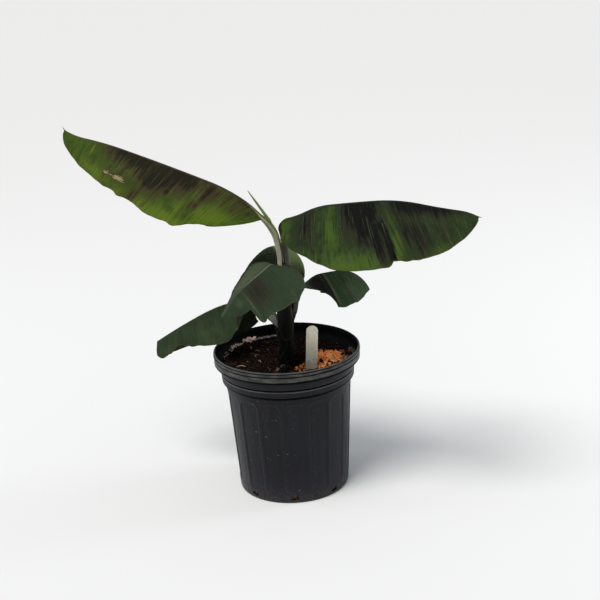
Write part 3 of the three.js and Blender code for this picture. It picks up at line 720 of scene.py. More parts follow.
def blade_material(name):
    t = Tree(name)
    leaf = t.attribute("leaf")
    run, aside, across = t.split(leaf)
    maroon_and_shade_there, pale_and_highlight_there, dry_there = t.split(t.attribute("tint"))
    look = LOOKS[name]
    dark, fresh, light = look["greens"]
    olive, maroon = look["reds"]
    broad = t.noise(leaf, (1.3, 0.16, 0.0), 3.0, 0.55, 0.2)
    streaks = t.noise(leaf, (5.5, 0.26, 0.0), 5.0, 0.68, 0.3)
    fine = t.noise(leaf, (20.0, 0.5, 0.0), 4.0, 0.6)
    clouds = t.noise(leaf, (0.8, 0.7, 0.0), 4.0, 0.62)
    signed = lambda fac, gain: t.times(t.math("SUBTRACT", fac, 0.5), gain * look["contrast"])
    waver = t.plus(t.plus(signed(broad, 1.3), signed(streaks, 2.1)), signed(clouds, 1.2))
    spread = t.plus(signed(streaks, 2.2), signed(clouds, 2.4))
    colour = t.mix(t.ramp(spread, -0.6, 0.6), dark, fresh)
    colour = t.mix(t.ramp(t.plus(pale_and_highlight_there, t.times(waver, 0.7)), 0.1, 1.0), colour, light)
    red = t.plus(maroon_and_shade_there, t.times(waver, 0.7))
    colour = t.mix(t.ramp(red, 0.12, 0.5), colour, olive)
    colour = t.mix(t.ramp(red, 0.35, 0.75), colour, maroon)
    colour = t.mix(t.ramp(dry_there, 0.15, 0.9), colour, olive)
    torn = t.math("SUBTRACT", t.times(t.noise(leaf, (3.0, 8.0, 0.0), 4.0, 0.7), 3.4), 1.1)
    colour = t.mix(t.ramp(t.times(dry_there, torn), 0.45, 0.75), colour, (0.30, 0.25, 0.12))
    # Pale threads along the veins, partly a painted highlight on the vein ridges
    threads = t.ramp(t.noise(leaf, (8.0, 0.2, 0.0), 2.0, 0.5), 0.59, 0.65)
    pale = tuple(0.5 * c + 0.035 for c in light)
    colour = t.over(colour, t.times(threads, t.ramp(clouds, 0.38, 0.55)), look["threads"], pale)
    colour = t.over(colour, t.ramp(fine, 0.42, 0.3), 0.4, maroon)
    rib = t.ramp(t.math("ABSOLUTE", aside), 0.09, 0.045)
    if "rib_fade" in look:
        rib = t.times(rib, t.ramp(run, *look["rib_fade"], 1.0, 0.2))
    colour = t.over(colour, rib, 0.85, look["rib"])
    # A thin paler line along the margins: a painted highlight on their edge
    colour = t.over(colour, t.ramp(t.math("ABSOLUTE", across), 0.972, 0.99), 0.5, (0.10, 0.095, 0.035))
    below = t.mix(t.ramp(clouds, 0.4, 0.7), (0.030, 0.045, 0.018), (0.025, 0.019, 0.013))
    colour = t.mix(t.attribute("under", "Fac"), colour, below)
    grain = t.noise(leaf, (14.0, 9.0, 0.0))
    normal = t.relief(grain, 0.0001, 0.5, t.relief(fine, 0.0003, 0.8))
    return t.finish(colour, t.ramp(clouds, 0.3, 0.7, 0.58, 0.72), normal, 0.08)


def petiole_material(name):
    t = Tree(name + "_petiole")
    leaf = t.attribute("leaf")
    share = t.attribute("share", "Fac")
    side, channel, foot = LOOKS[name]["petiole"]
    streaks = t.noise(leaf, (0.5, 5.0, 0.0), 4.0)
    blotch = t.noise(leaf, (1.6, 1.6, 0.0))
    # The petiole's side below darker than its channel above: painted shade
    colour = t.mix(t.ramp(t.split(leaf)[2], 0.3, 0.7), side, channel)
    colour = t.mix(t.ramp(share, 0.38, 0.12), colour, foot)
    rib = tuple(1.2 * x for x in LOOKS[name]["reds"][1])
    colour = t.mix(t.ramp(share, 0.52, 0.8), colour, rib)
    brown = tuple(0.35 * x for x in side)
    colour = t.over(colour, t.ramp(t.plus(streaks, t.times(blotch, 0.5)), 0.75, 0.95), 0.75, brown)
    return t.finish(colour, t.ramp(streaks, 0.3, 0.7, 0.42, 0.6), t.relief(streaks, 0.0004, 0.7), 0.4)


# The leaves

def make_leaf(name, seed):
    leaf = grown(name)
    blade, blade_faces, blade_values = blade_mesh(leaf, LOOKS[name]["tints"], seed)
    rod, rod_faces, rod_values = petiole_mesh(leaf, seed)
    blank = np.zeros(len(rod))
    values = dict(
        leaf=np.vstack([blade_values["leaf"], rod_values["leaf"]]),
        tint=np.vstack([blade_values["tint"], np.zeros((len(rod), 3))]),
        under=np.concatenate([blade_values["under"], blank]),
        share=np.concatenate([np.zeros(len(blade)), rod_values["share"]]),
    )
    counts = [sum(map(len, faces)) for faces in (blade_faces, rod_faces)]
    made = mesh_object(
        name + "_grown", np.vstack([blade, rod]), blade_faces + [f + len(blade) for f in rod_faces],
        [blade_material(name), petiole_material(name)], np.repeat([0, 1], counts), values,
    )
    dress(made, "leaf", name)


def make_hair(name):
    """The dry hair that a leaf's tip ends in."""
    leaf, rows, corners = grown(name), 7, 5
    length, turn = leaf["hair"]
    place, way, side, normal = frames_of(leaf, [leaf["length"]])
    share = np.linspace(0, 1, rows)
    lift = np.radians(turn) * share[:, None]
    step = way * np.cos(lift) + normal * np.sin(lift)
    spine = place - way * 2 + np.cumsum(step, 0) * (length + 2) / rows
    angle, radius = circle(corners), (0.65 - 0.45 * share)[:, None]
    rings = rings_at(spine, side, normal, radius * np.cos(angle), radius * np.sin(angle))
    first = np.arange(corners)
    ends = np.array([first[::-1], first + (rows - 1) * corners])
    made = mesh_object(
        name + "_hair", rings.reshape(-1, 3), [grid_faces(rows, corners, closed=True), ends],
        [plain_material(name + "_hair", (0.05, 0.045, 0.03))],
    )
    dress(made, "leaf", name)


for number, name in enumerate(LEAVES):
    make_leaf(name, 100 + 17 * number)
for name in LEAVES:
    if "hair" in DETAILS[name]:
        make_hair(name)


# The furled leaf

FURLED_LYING = 14  # how much of it lies on the petiole
FURLED_STEP = 0.8
FURLED_SUNK = 1.6
FURLED_POINTS = 36


def furled_material():
    t = Tree("furled_leaf")
    streaks = t.noise(t.attribute("leaf"), (0.6, 6.0, 0.0))
    colour = t.mix(t.ramp(streaks, 0.35, 0.65), (0.06, 0.10, 0.02), (0.16, 0.22, 0.05))
    colour = t.mix(t.attribute("share", "Fac"), colour, (0.36, 0.38, 0.17))
    return t.finish(colour, 0.45, t.relief(streaks, 0.0003, 0.6))


def make_furled_leaf():
    """A blade rolled on itself, which lies on its parent's petiole and then stands free of it."""
    parent = grown(FURLED_PARENT)
    length, heading, radii = FURLED["length"], FURLED["heading"], FURLED["radii"]
    lying = np.arange(-FURLED_LYING, 0, FURLED_STEP)
    free = np.arange(0, length + FURLED_STEP / 2, FURLED_STEP)
    distance = np.append(lying, free)
    clear = (float(rod_radius(parent, FURLED["along"])) + radii[0]) * ROD_FLAT + GAP
    place, _, _, normal = frames_of(parent, FURLED["along"] + np.append(lying, 0))
    lift = clear * (0.35 + 0.65 * smoothstep(lying, -FURLED_LYING, 0)) - FURLED_SUNK
    lifted = place[:-1] + normal[:-1] * lift[:, None]
    foot = place[-1] + normal[-1] * clear
    ahead = direction(FURLED["pitch"], heading)
    sunk = FURLED_SUNK * (1 - free / length)
    place = np.vstack([lifted, foot - sunk[:, None] * normal[-1] + free[:, None] * ahead])
    side = np.broadcast_to(direction(0, heading + 90), place.shape)
    angle = circle(FURLED_POINTS)
    wound = np.mod(angle - 1.2 - distance[:, None] / 60, 2 * np.pi) / (2 * np.pi)
    radius = along(radii, distance / length) * (0.55 + 0.45 * smoothstep(distance, -FURLED_LYING, -2))
    radius = radius[:, None] * (0.88 + 0.16 * wound)
    rings = rings_at(place, side, np.cross(ahead, side), radius * np.cos(angle), radius * np.sin(angle))
    points, faces = capped(rings)
    values = np.stack([np.repeat(distance / 10, FURLED_POINTS), wound.ravel(), np.zeros(wound.size)], -1)
    lip = smoothstep(wound, 0.9, 0.99).ravel()
    made = mesh_object("furled_leaf_grown", points, faces, [furled_material()],
                       attributes=dict(leaf=to_ends(values), share=to_ends(lip)))
    dress(made, "leaf", "furled_leaf")


make_furled_leaf()


# The false stem: sheaths wrapped one over another, each ending at its leaf's foot

STEM_COLUMNS = 192
STEM_ROW = 0.75
SHEATH_THICKNESS = 0.5
SHEATH_DROP = 52  # how far a sheath's margins run down to the side away from its petiole
SHEATH_MOUTH = 262
MOUTH_RADIUS = 4.6
BULGE_RUN = 17  # how far below a petiole's foot its sheath starts to swell
BULGE_END = 6  # and how far above it that ends
NECK = (240, 257)  # between which heights the stem narrows to its mouth


def stem_material():
    t = Tree("pseudostem")
    leaf = t.attribute("leaf")
    height, _, right = t.split(leaf)
    streaks = t.noise(leaf, (0.35, 4.5, 0.0), 5.0, 0.6, 0.2)
    blotch = t.noise(leaf, (1.1, 2.0, 0.0), 4.0, 0.6)
    colour = t.mix(t.ramp(streaks, 0.35, 0.68), (0.002, 0.0026, 0.0014), (0.0052, 0.0065, 0.003))
    purple = t.mix(t.ramp(blotch, 0.4, 0.62), (0.005, 0.0032, 0.003), (0.014, 0.0095, 0.0075))
    colour = t.mix(t.times(right, t.ramp(streaks, 0.3, 0.6)), colour, purple)
    colour = t.over(colour, t.ramp(height, 22.5, 26.0), 0.7, (0.05, 0.045, 0.028))
    colour = t.over(colour, t.ramp(height, 15.6, 14.4), 0.8, (0.008, 0.005, 0.004))
    colour = t.over(colour, t.attribute("share", "Fac"), 0.6, (0.035, 0.024, 0.014))
    flecks = t.ramp(t.noise(leaf, (6.0, 9.0, 0.0), 2.0), 0.64, 0.74)
    colour = t.over(colour, flecks, 0.25, (0.04, 0.038, 0.03))
    return t.finish(colour, t.ramp(blotch, 0.3, 0.7, 0.42, 0.62), t.relief(streaks, 0.0005, 0.7), 0.09)


def make_stem():
    heights = np.arange(STEM_FOOT - 3, SHEATH_MOUTH + 0.1, STEM_ROW)
    h, a = np.meshgrid(heights, circle(STEM_COLUMNS), indexing="ij")
    radius = stem_radius(h)
    edge = np.zeros_like(h)
    mouth = np.full_like(h, MOUTH_RADIUS)
    for number, name in enumerate(LEAVES):
        leaf = grown(name)
        foot, rod = leaf["foot"], leaf["radius"]
        apart = np.abs(np.mod(a - leaf["turn"] + np.pi, 2 * np.pi) - np.pi)
        drop = SHEATH_DROP * ((1 - np.cos(apart)) / 2) ** 0.8
        margin = foot + 2 - drop + 1.2 * noise(a * 2.2, 0, 40 + number)
        radius = radius + SHEATH_THICKNESS * (smoothstep(margin - h, -0.5, 0.5) - 0.72)
        edge = np.maximum(edge, bump(h, margin - 0.7, 0.9) * smoothstep(apart, 0.25, 0.6))
        if "on_top" in leaf:
            inside = np.maximum((rod + 0.9) ** 2 - (leaf["on_top"] * np.sin(apart)) ** 2, 0)
            reach = np.where(np.cos(apart) > 0, leaf["on_top"] * np.cos(apart) + np.sqrt(inside), 0)
            mouth = np.maximum(mouth, reach)
        else:
            bulge = 1.7 * rod * smoothstep(h, foot - BULGE_RUN, foot) ** 1.5
            bulge = bulge * smoothstep(h, foot + BULGE_END, foot - 1)
            spread = (1.15 * rod + 0.12 * np.maximum(foot - h, 0)) / 8.6
            radius = radius + bulge * np.exp(-((apart / spread) ** 2) * 0.9)
    narrow = smoothstep(h, *NECK)
    radius = radius * (1 - narrow) + mouth * narrow
    radius = radius * (1 - 0.25 * smoothstep(h, STEM_TOP + 0.5, SHEATH_MOUTH))
    radius = radius + 0.12 * layers(h / 9, a * 4, 77, 2)
    rings = np.stack([stem_axis(h) + radius * np.cos(a), radius * np.sin(a), h], -1)
    ends = [[stem_axis(height), 0, height - sunk] for height, sunk in ((heights[0], 0), (heights[-1], 2.5))]
    points, faces = capped(rings, ends)
    right = smoothstep(np.cos(a - 0.3), -0.35, 0.75)
    values = np.stack([h / 10, a * 0.85, right], -1).reshape(-1, 3)
    made = mesh_object("pseudostem_grown", points, faces, [stem_material()],
                       attributes=dict(leaf=to_ends(values), share=to_ends(edge.ravel())))
    dress(made, "stem", "pseudostem")


make_stem()


# The pot's wall, its finish and its drain holes

# The level grooves round the pot and the underside of its lip, painted dark as shade: (height, half the
# width)
SHADED_GROOVES = [
    (POT_HEIGHT - 1.5, 0.5), (LIP_GROOVE, 0.6), (LIP_BOTTOM + 0.1, 2.4),
    (COLLAR_MIDDLE - 0.2, 0.9), (COLLAR_BOTTOM + 1.2, 1.9),
]
EDGE_HIGHLIGHTS = [(POT_HEIGHT - 0.4, 0.5), (COLLAR_MIDDLE - 2.1, 0.8)]  # the edges painted lighter as highlights, likewise
PANEL_RADIUS = 66  # where the panels' widths are measured
PANEL_ARCH = 8.5
PANEL_GAP = 3
PANEL_FOOT = (12, 15)  # between which heights the panels begin
DRAIN_SIDES = 28
DRAIN_REACH = 5  # of the cutters to both sides of the wall


def bands(t, height, rings):
    """How much a point lies on one of some level rings, each (height, half its width) in mm."""
    found = 0.0
    for middle, half in rings:
        off = t.math("ABSOLUTE", t.math("SUBTRACT", height, middle * MM))
        found = t.math("MAXIMUM", found, t.ramp(off, (half + 0.3) * MM, (half - 0.2) * MM))
    return found


def pot_inside_material():
    t = Tree("pot_inside")
    grime = t.noise(t.place(), 90.0, 4.0, 0.65)
    # The inner wall much darker than the same plastic outside: painted shade, with paler grime smudges
    colour = t.mix(t.ramp(grime, 0.45, 0.7), (0.0010, 0.0011, 0.0016), (0.0045, 0.0042, 0.0042))
    return t.finish(colour, 0.6, t.relief(grime, 0.0003, 0.5), 0.07)


def pot_material(name, specular):
    t = Tree(name)
    place = t.place()
    height = t.split(place)[2]
    broad = t.noise(place, (14, 14, 9), 4.0, 0.6)
    fine = t.noise(place, 420.0, 4.0, 0.65)
    colour = t.mix(t.ramp(broad, 0.35, 0.65), (0.0036, 0.0039, 0.0064), (0.0066, 0.0070, 0.0108))
    colour = t.mix(t.ramp(height, 0.045, 0.005), colour, (0.0115, 0.0112, 0.0170))
    drips = t.noise(place, (95, 95, 7), 4.0, 0.6)
    dust = t.times(t.ramp(drips, 0.42, 0.75), t.ramp(fine, 0.4, 0.7))
    colour = t.over(colour, dust, 0.3, (0.055, 0.053, 0.052))
    # The lip lighter above its underside, broken by noise: partly dust, mostly a painted reflection
    lip_dust_and_sheen = t.ramp(t.noise(place, (70, 70, 260), 4.0, 0.65), 0.4, 0.62, 0.3, 1.0)
    colour = t.over(colour, t.ramp(height, 0.1495, 0.1515), lip_dust_and_sheen, (0.070, 0.069, 0.064))
    # Painted highlights along the rim's top edge and the collar's rounded edge
    colour = t.over(colour, bands(t, height, EDGE_HIGHLIGHTS), t.ramp(broad, 0.35, 0.6, 0.4, 0.9), (0.085, 0.085, 0.085))
    # Painted shade: dark in the grooves and under the lip
    colour = t.over(colour, bands(t, height, SHADED_GROOVES), 0.95, (0.0008, 0.0008, 0.001))
    dots = t.node("TexVoronoi", {"Vector": place, "Scale": 190.0})["Distance"]
    specks = t.times(t.ramp(dots, 0.15, 0.08), t.ramp(t.noise(place, 60.0, 2.0), 0.56, 0.64))
    colour = t.over(colour, specks, 0.6, (0.30, 0.29, 0.27))
    foot = t.times(t.ramp(height, 0.02, 0.0), t.ramp(fine, 0.4, 0.6))
    colour = t.over(colour, foot, 0.5, (0.07, 0.055, 0.04))
    roughness = t.ramp(t.plus(broad, t.times(fine, 0.5)), 0.6, 0.95, 0.38, 0.52)
    return t.finish(colour, roughness, t.relief(broad, 0.0006, 0.5, t.relief(fine, 0.00006, 0.7)), specular)


def pot_profile():
    """The pot's outline as (radius, height), from its underside's edge round to its inner floor's."""
    beside = lambda radius, height, *steps: [(radius + out, height + up) for out, up in steps]
    heights = np.concatenate([np.arange(3.4, 12, 0.6), np.arange(12, COLLAR_BOTTOM - 0.1, 1.0)])
    shares = np.maximum((heights - HEEL_TOP) / (COLLAR_BOTTOM - HEEL_TOP), -0.01)
    return np.array([
        (FOOT_RADIUS, 0),
        *beside(BASE_RADIUS, 0, (-1.6, 0.25), (-0.7, 1.3), (-0.35, 2.4)),
        *zip(BASE_RADIUS + (WALL_TOP_RADIUS - BASE_RADIUS) * shares, heights),
        *beside(WALL_TOP_RADIUS, COLLAR_BOTTOM, (0, -0.3), (0.5, 0), (2, 0.5)),
        *beside(COLLAR_RADIUS, COLLAR_BOTTOM, (-1, 1.3), (-0.5, 2.2), (-0.44, 3.1)),
        *beside(COLLAR_RADIUS, COLLAR_MIDDLE, (0, -1.6), (-0.1, -1.2), (-1.3, -0.7), (-1.3, 0.3)),
        *beside(COLLAR_RADIUS, COLLAR_MIDDLE, (0.5, 0.8), (0.7, 1.8)),
        *beside(COLLAR_RADIUS, LIP_BOTTOM, (1.12, -2.3), (1.2, -1.2), (1.6, -0.5)),
        *beside(LIP_RADIUS, LIP_BOTTOM, (-1.6, -0.1), (-0.5, 0.2), (-0.05, 0.9), (-0.04, 2.5)),
        *beside(LIP_RADIUS, LIP_GROOVE, (0, -1.3), (-0.15, -0.8), (-1.1, -0.4), (-1.1, 0.3)),
        *beside(RIM_RADIUS, LIP_GROOVE, (-0.3, 0.8), (0, 1.5)),
        *beside(RIM_RADIUS, POT_HEIGHT, (-0.05, -2.2), (-0.7, -1.7), (-0.7, -1.3), (-0.3, -0.8)),
        *beside(RIM_RADIUS, POT_HEIGHT, (-1.1, -0.1), (-1.6, 0), (-2.2, 0), (-2.7, -0.4)),
        *beside(LIP_RADIUS - POT_WALL, LIP_GROOVE, (-0.2, 0)),
        *beside(LIP_RADIUS - POT_WALL, LIP_BOTTOM, (-0.2, 2.8), (-1, 1.2)),
        *beside(COLLAR_RADIUS - POT_WALL, LIP_BOTTOM, (1.3, -0.6)),
        *beside(COLLAR_RADIUS - POT_WALL, COLLAR_BOTTOM, (0, 2.6)),
        *beside(WALL_TOP_RADIUS - POT_WALL, COLLAR_BOTTOM, (0, -0.6)),
        *beside(BASE_RADIUS - POT_WALL, 0, (0, HEEL_TOP), (-2, POT_WALL)),
    ])


def panel_relief(height, angle):
    """How far the wall stands in within its panels, which are arched above."""
    step = 2 * np.pi / PANELS
    across = (np.mod(angle - PANEL_TURN + np.pi / 2, step) - step / 2) * PANEL_RADIUS
    half = (PANEL_RADIUS * step - PANEL_GAP) / 2
    x = np.maximum(np.abs(across) - (half - PANEL_ARCH), 0)
    y = np.maximum(height - (PANEL_TOP - PANEL_ARCH), 0)
    outside = np.hypot(x, y) - PANEL_ARCH
    panel = PANEL_DEPTH * smoothstep(-outside, -0.2, 1.3)
    return (0.25 * bump(outside, 0.2, 0.8) - panel) * smoothstep(height, *PANEL_FOOT)


def make_pot():
    ring = pot_profile()
    top = int(np.argmax(ring[:, 1]))
    row = np.arange(len(ring) - 1)
    middles = (ring[:-1, 1] + ring[1:, 1]) / 2
    # Faces in the grooves and under the lip take a copy of the finish with little reflection: painted shade
    grooved = np.any([np.abs(middles - height) < half + 0.05 for height, half in SHADED_GROOVES], 0)
    looks = np.where(row > top, 1, np.where(grooved, 2, 0))
    r, z = ring[:, :1], ring[:, 1:]
    a = np.repeat(circle(POT_SEGMENTS)[None] - np.pi / 2, len(ring), 0)
    outer = np.arange(len(ring))[:, None] < top
    wall = outer & (z > 3) & (z < COLLAR_BOTTOM - 0.2)
    r = r + np.where(wall, panel_relief(z, a), 0)
    r = r + np.where(outer & (z > 0.1), 0.1 * layers(a * 8, z / 30, 5, 2), 0)
    z = z + np.where(z > POT_HEIGHT - 3, 0.12 * noise(a * 3, 0, 6) - 0.12, 0)
    points, faces = capped(np.stack([r * np.cos(a), r * np.sin(a), z], -1), [[0, 0, 0], [0, 0, POT_WALL]])
    materials = [pot_material("pot", 0.2), pot_inside_material(), pot_material("pot_groove_shade", 0.02)]
    pot = mesh_object("pot_moulded", points, faces, materials, np.repeat([*looks, 0, 1], POT_SEGMENTS))
    cut_drains(pot)
    dress(pot, "pot", "pot")


def cut_drains(pot):
    """Oval drain holes through the foot of the wall, all round."""
    angle = circle(DRAIN_SIDES)
    points, walls, ends = [], [], []
    for turn in circle(DRAIN_HOLES) - np.pi / 2:
        out = np.array([math.cos(turn), math.sin(turn), 0])
        side = np.array([-math.sin(turn), math.cos(turn), 0])
        oval = side * (DRAIN_WIDTH / 2 * np.cos(angle))[:, None]
        oval[:, 2] = DRAIN_CENTRE + DRAIN_HEIGHT / 2 * np.sin(angle)
        start = len(points) * DRAIN_SIDES
        points += [oval + out * (BASE_RADIUS - DRAIN_REACH), oval + out * (BASE_RADIUS + DRAIN_REACH)]
        walls.append(start + grid_faces(2, DRAIN_SIDES, closed=True))
        ends += [start + np.arange(DRAIN_SIDES)[::-1], start + DRAIN_SIDES + np.arange(DRAIN_SIDES)]
    cutter = mesh_object("drain_cutter", np.vstack(points), [np.vstack(walls), np.array(ends)], [])
    cut = pot.modifiers.new("drains", "BOOLEAN")
    cut.object = cutter
    cut.operation = "DIFFERENCE"
    cut.solver = "EXACT"
    made = bpy.data.meshes.new_from_object(pot.evaluated_get(bpy.context.evaluated_depsgraph_get()))
    pot.modifiers.clear()
    pot.data = made
    bpy.data.objects.remove(cutter)


make_pot()


# The soil and what lies on it

SOIL_COLUMNS = 400
SOIL_STEP = 0.45  # between two rings of points
SOIL_EDGE = 72.5  # how far out its loose pieces lie
STEM_CLEAR = 10.5  # and how far from the middle
FIBRE_BEND = 0.28  # spreads of the fibres' bends and slopes, in radians
FIBRE_PITCH = 0.35


def ground(x, y):
    """Height of the smooth soil: flat round the stem, then its level, with a low heap at the front right."""
    rise = smoothstep(np.hypot(x, y), PAD_RADIUS, DIP_RADIUS)
    heap = HEAP_HEIGHT * np.exp(-((np.hypot(x - HEAP[0], y - HEAP[1]) / HEAP_SPREAD) ** 2))
    return STEM_FOOT + rise * (SOIL_LEVEL - STEM_FOOT + heap)


def soil_top(x, y):
    """The crumbled surface: clods, crumbs and the small pits between them."""
    clods = layers(x / 9, y / 9, 11, 3)
    crumbs = np.abs(noise(x / 2.6, y / 2.6, 12)) + 0.6 * np.abs(noise(x / 1.3, y / 1.3, 13))
    calm = 1 - 0.6 * smoothstep(np.hypot(x, y), 58, 72)
    return ground(x, y) + calm * (1.5 * clods + 1.1 * (crumbs - 0.6))


def soil_material():
    t = Tree("soil")
    place = t.place()
    grain = t.noise(place, 520.0, 5.0, 0.7)
    broad = t.ramp(t.noise(place, 70.0, 4.0, 0.6), 0.35, 0.65)
    colour = t.mix(broad, (0.003, 0.0018, 0.0013), (0.012, 0.0062, 0.004))
    colour = t.over(colour, t.ramp(grain, 0.5, 0.72), 0.5, (0.045, 0.022, 0.013))
    in_drain = t.ramp(t.split(place)[2], 0.014, 0.011)
    colour = t.over(colour, in_drain, t.ramp(grain, 0.4, 0.6), (0.16, 0.085, 0.06))
    return t.finish(colour, 0.95, t.relief(grain, 0.0009, 0.9), 0.08)


def make_soil():
    clear = POT_WALL + GAP
    # The soil's side inside the wall, then its crumbled top
    sides = np.array([
        (BASE_RADIUS - clear - 2.2, clear),
        (BASE_RADIUS - clear, HEEL_TOP + 0.3),
        (WALL_TOP_RADIUS - clear, COLLAR_BOTTOM - 0.4),
        (COLLAR_RADIUS - clear, COLLAR_BOTTOM + 3.2),
    ])
    radius = np.append(sides[:, 0], np.arange(SOIL_RADIUS, SOIL_STEP, -SOIL_STEP))[:, None]
    angle = circle(SOIL_COLUMNS)
    x, y = radius * np.cos(angle), radius * np.sin(angle)
    z = soil_top(x, y)
    z[:len(sides)] = sides[:, 1:]
    points, faces = capped(np.stack([x, y, z], -1), [[0, 0, clear], [0, 0, STEM_FOOT]])
    dress(mesh_object("soil_ground", points, faces, [soil_material()]), "soil", "soil")


def lump():
    """An icosahedron's 12 corners and 20 faces."""
    g = (1 + 5**0.5) / 2
    corners = np.array([
        (-1, g, 0), (1, g, 0), (-1, -g, 0), (1, -g, 0), (0, -1, g), (0, 1, g),
        (0, -1, -g), (0, 1, -g), (g, 0, -1), (g, 0, 1), (-g, 0, -1), (-g, 0, 1),
    ])
    faces = np.array([
        (0, 11, 5), (0, 5, 1), (0, 1, 7), (0, 7, 10), (0, 10, 11), (1, 5, 9), (5, 11, 4), (11, 10, 2),
        (10, 7, 6), (7, 1, 8), (3, 9, 4), (3, 4, 2), (3, 2, 6), (3, 6, 8), (3, 8, 9), (4, 9, 5),
        (2, 4, 11), (6, 2, 10), (8, 6, 7), (9, 8, 1),
    ])
    return corners / np.linalg.norm(corners[0]), faces


def turned_any_way(count):
    """Rotations drawn evenly from all there are."""
    q = draws.normal(size=(count, 4))
    w, x, y, z = (q / np.linalg.norm(q, axis=1, keepdims=True)).T
    rows = [
        [1 - 2 * (y * y + z * z), 2 * (x * y - z * w), 2 * (x * z + y * w)],
        [2 * (x * y + z * w), 1 - 2 * (x * x + z * z), 2 * (y * z - x * w)],
        [2 * (x * z - y * w), 2 * (y * z + x * w), 1 - 2 * (x * x + y * y)],
    ]
    return np.moveaxis(np.array(rows), 2, 0)


def spread_on_soil(count, centres):
    """Places on the soil, clear of the stem and the wall, all over or about centres (x, y, spread, share)."""
    found = np.empty((0, 2))
    while len(found) < count:
        if centres:
            at = np.array(centres)
            which = draws.choice(len(at), count, p=at[:, 3])
            xy = draws.normal(size=(count, 2)) * at[which, 2:3] + at[which, :2]
        else:
            xy = draws.uniform(-SOIL_EDGE, SOIL_EDGE, (count, 2))
        r = np.hypot(*xy.T)
        found = np.vstack([found, xy[(r < SOIL_EDGE - 0.5) & (r > STEM_CLEAR)]])
    return found[:count]


def copies(faces, points, count):
    """The faces of a number of like shapes, each with so many points."""
    return (faces[None] + points * np.arange(count)[:, None, None]).reshape(-1, faces.shape[1])


def lumps(name, places, sizes, materials, chosen, flat, sunk=0.2, heights=None):
    """One joined mesh of uneven lumps on the soil."""
    corners, faces = lump()
    count = len(places)
    rough = 1 + 0.28 * draws.uniform(-1, 1, (count, 12, 1))
    stretch = [draws.uniform(low, high, count) for low, high in ((0.8, 1.5), (0.7, 1.1), flat)]
    shapes = corners * rough * np.stack(stretch, -1)[:, None] * sizes[:, None, None]
    shapes = np.einsum("nij,nkj->nki", turned_any_way(count), shapes)
    z = (soil_top(*places.T) if heights is None else heights) + sizes * (0.5 - sunk)
    shapes = shapes + np.column_stack([places, z])[:, None]
    made = mesh_object(name, shapes.reshape(-1, 3), [copies(faces, 12, count)], materials,
                       np.repeat(chosen, 20), smooth=False)
    dress(made, "soil", "soil")


def fibres(name, places, lengths, materials, chosen, radius):
    """One joined mesh of bent fibres, three-sided and pointed, lying about on the soil."""
    thin = radius * np.array([0.5, 0.9, 1, 1, 0.9, 0.7, 0.25])
    count, steps = len(places), len(thin)
    heading = draws.uniform(0, 2 * np.pi, count)
    bend = draws.normal(0, FIBRE_BEND, count)
    pitch = draws.normal(0, FIBRE_PITCH, count)
    t = np.arange(steps)
    turn = heading[:, None] + bend[:, None] * t
    step = (lengths / (steps - 1))[:, None]
    lift = np.sin(pitch)[:, None] * np.cos(t * 0.5)
    dx, dy = np.cos(turn) * step, np.sin(turn) * step
    x = places[:, :1] + np.cumsum(dx, 1) - dx.sum(1, keepdims=True) / 2
    y = places[:, 1:] + np.cumsum(dy, 1) - dy.sum(1, keepdims=True) / 2
    inward = np.minimum(SOIL_EDGE / np.hypot(x, y), 1)
    x, y = x * inward, y * inward
    z = soil_top(x, y) * 0.35 + soil_top(*places.T)[:, None] * 0.65 + 0.4 + np.cumsum(lift * step, 1)
    centre = np.stack([x, y, np.minimum(z, POT_HEIGHT - 3)], -1)
    corners = []
    for around in circle(3):
        level, up = np.cos(around), np.full_like(turn, np.sin(around))
        out = np.stack([-np.sin(turn) * level, np.cos(turn) * level, up], -1)
        corners.append(centre + out * thin[:, None])
    tube = grid_faces(steps, 3, closed=True)
    size = steps * 3
    ends = np.array([[2, 1, 0], [size - 3, size - 2, size - 1]])
    faces = [copies(tube, size, count), copies(ends, size, count)]
    looks = np.concatenate([np.repeat(chosen, len(tube)), np.repeat(chosen, 2)])
    made = mesh_object(name, np.stack(corners, 2).reshape(-1, 3), faces, materials, looks)
    dress(made, "soil", "soil")


def strew(shape, name, count, sizes, materials, shares, centres=(), **settings):
    """Lumps or fibres on the soil. Sizes run from the least over a range, by a power of an even draw."""
    places = spread_on_soil(count, centres)
    least, extent, power = sizes
    drawn = least + extent * draws.random(count) ** power
    shape(name, places, drawn, materials, draws.choice(len(shares), count, p=shares), **settings)


make_soil()
draws = np.random.default_rng(7)
browns = plain_materials(
    0.9, crumb_black=(0.003, 0.002, 0.0015), crumb_dark=(0.007, 0.004, 0.003),
    crumb_brown=(0.022, 0.011, 0.0065), crumb_red=(0.080, 0.030, 0.016), crumb_tan=(0.14, 0.085, 0.05),
)
crumb_shares = [0.36, 0.38, 0.16, 0.08, 0.02]
strew(lumps, "soil_crumbs", 7600, (0.35, 0.9, 2.5), browns, crumb_shares, flat=(0.5, 1.0))
strew(lumps, "soil_clods", 420, (1.2, 1.4, 2), browns, [0.3, 0.45, 0.25], flat=(0.5, 0.9), sunk=0.45)
ambers = [
    *plain_materials(0.75, granule_orange=(0.98, 0.31, 0.065), granule_amber=(0.92, 0.27, 0.05)),
    *plain_materials(0.8, granule_tan=(1.0, 0.62, 0.32), granule_brown=(0.28, 0.085, 0.025)),
]
granule_shares = [0.44, 0.23, 0.24, 0.09]
heaps = [
    (43, 3, 7, 0.42), (47, -11, 7, 0.23), (38, -22, 5, 0.08), (53, 8, 5, 0.15),
    (36, 17, 4, 0.06), (15, -28, 3.5, 0.035), (60, 12, 4, 0.025),
]
strew(lumps, "soil_granules", 2300, (0.6, 1, 1), ambers, granule_shares, heaps, flat=(0.8, 1.1), sunk=0)

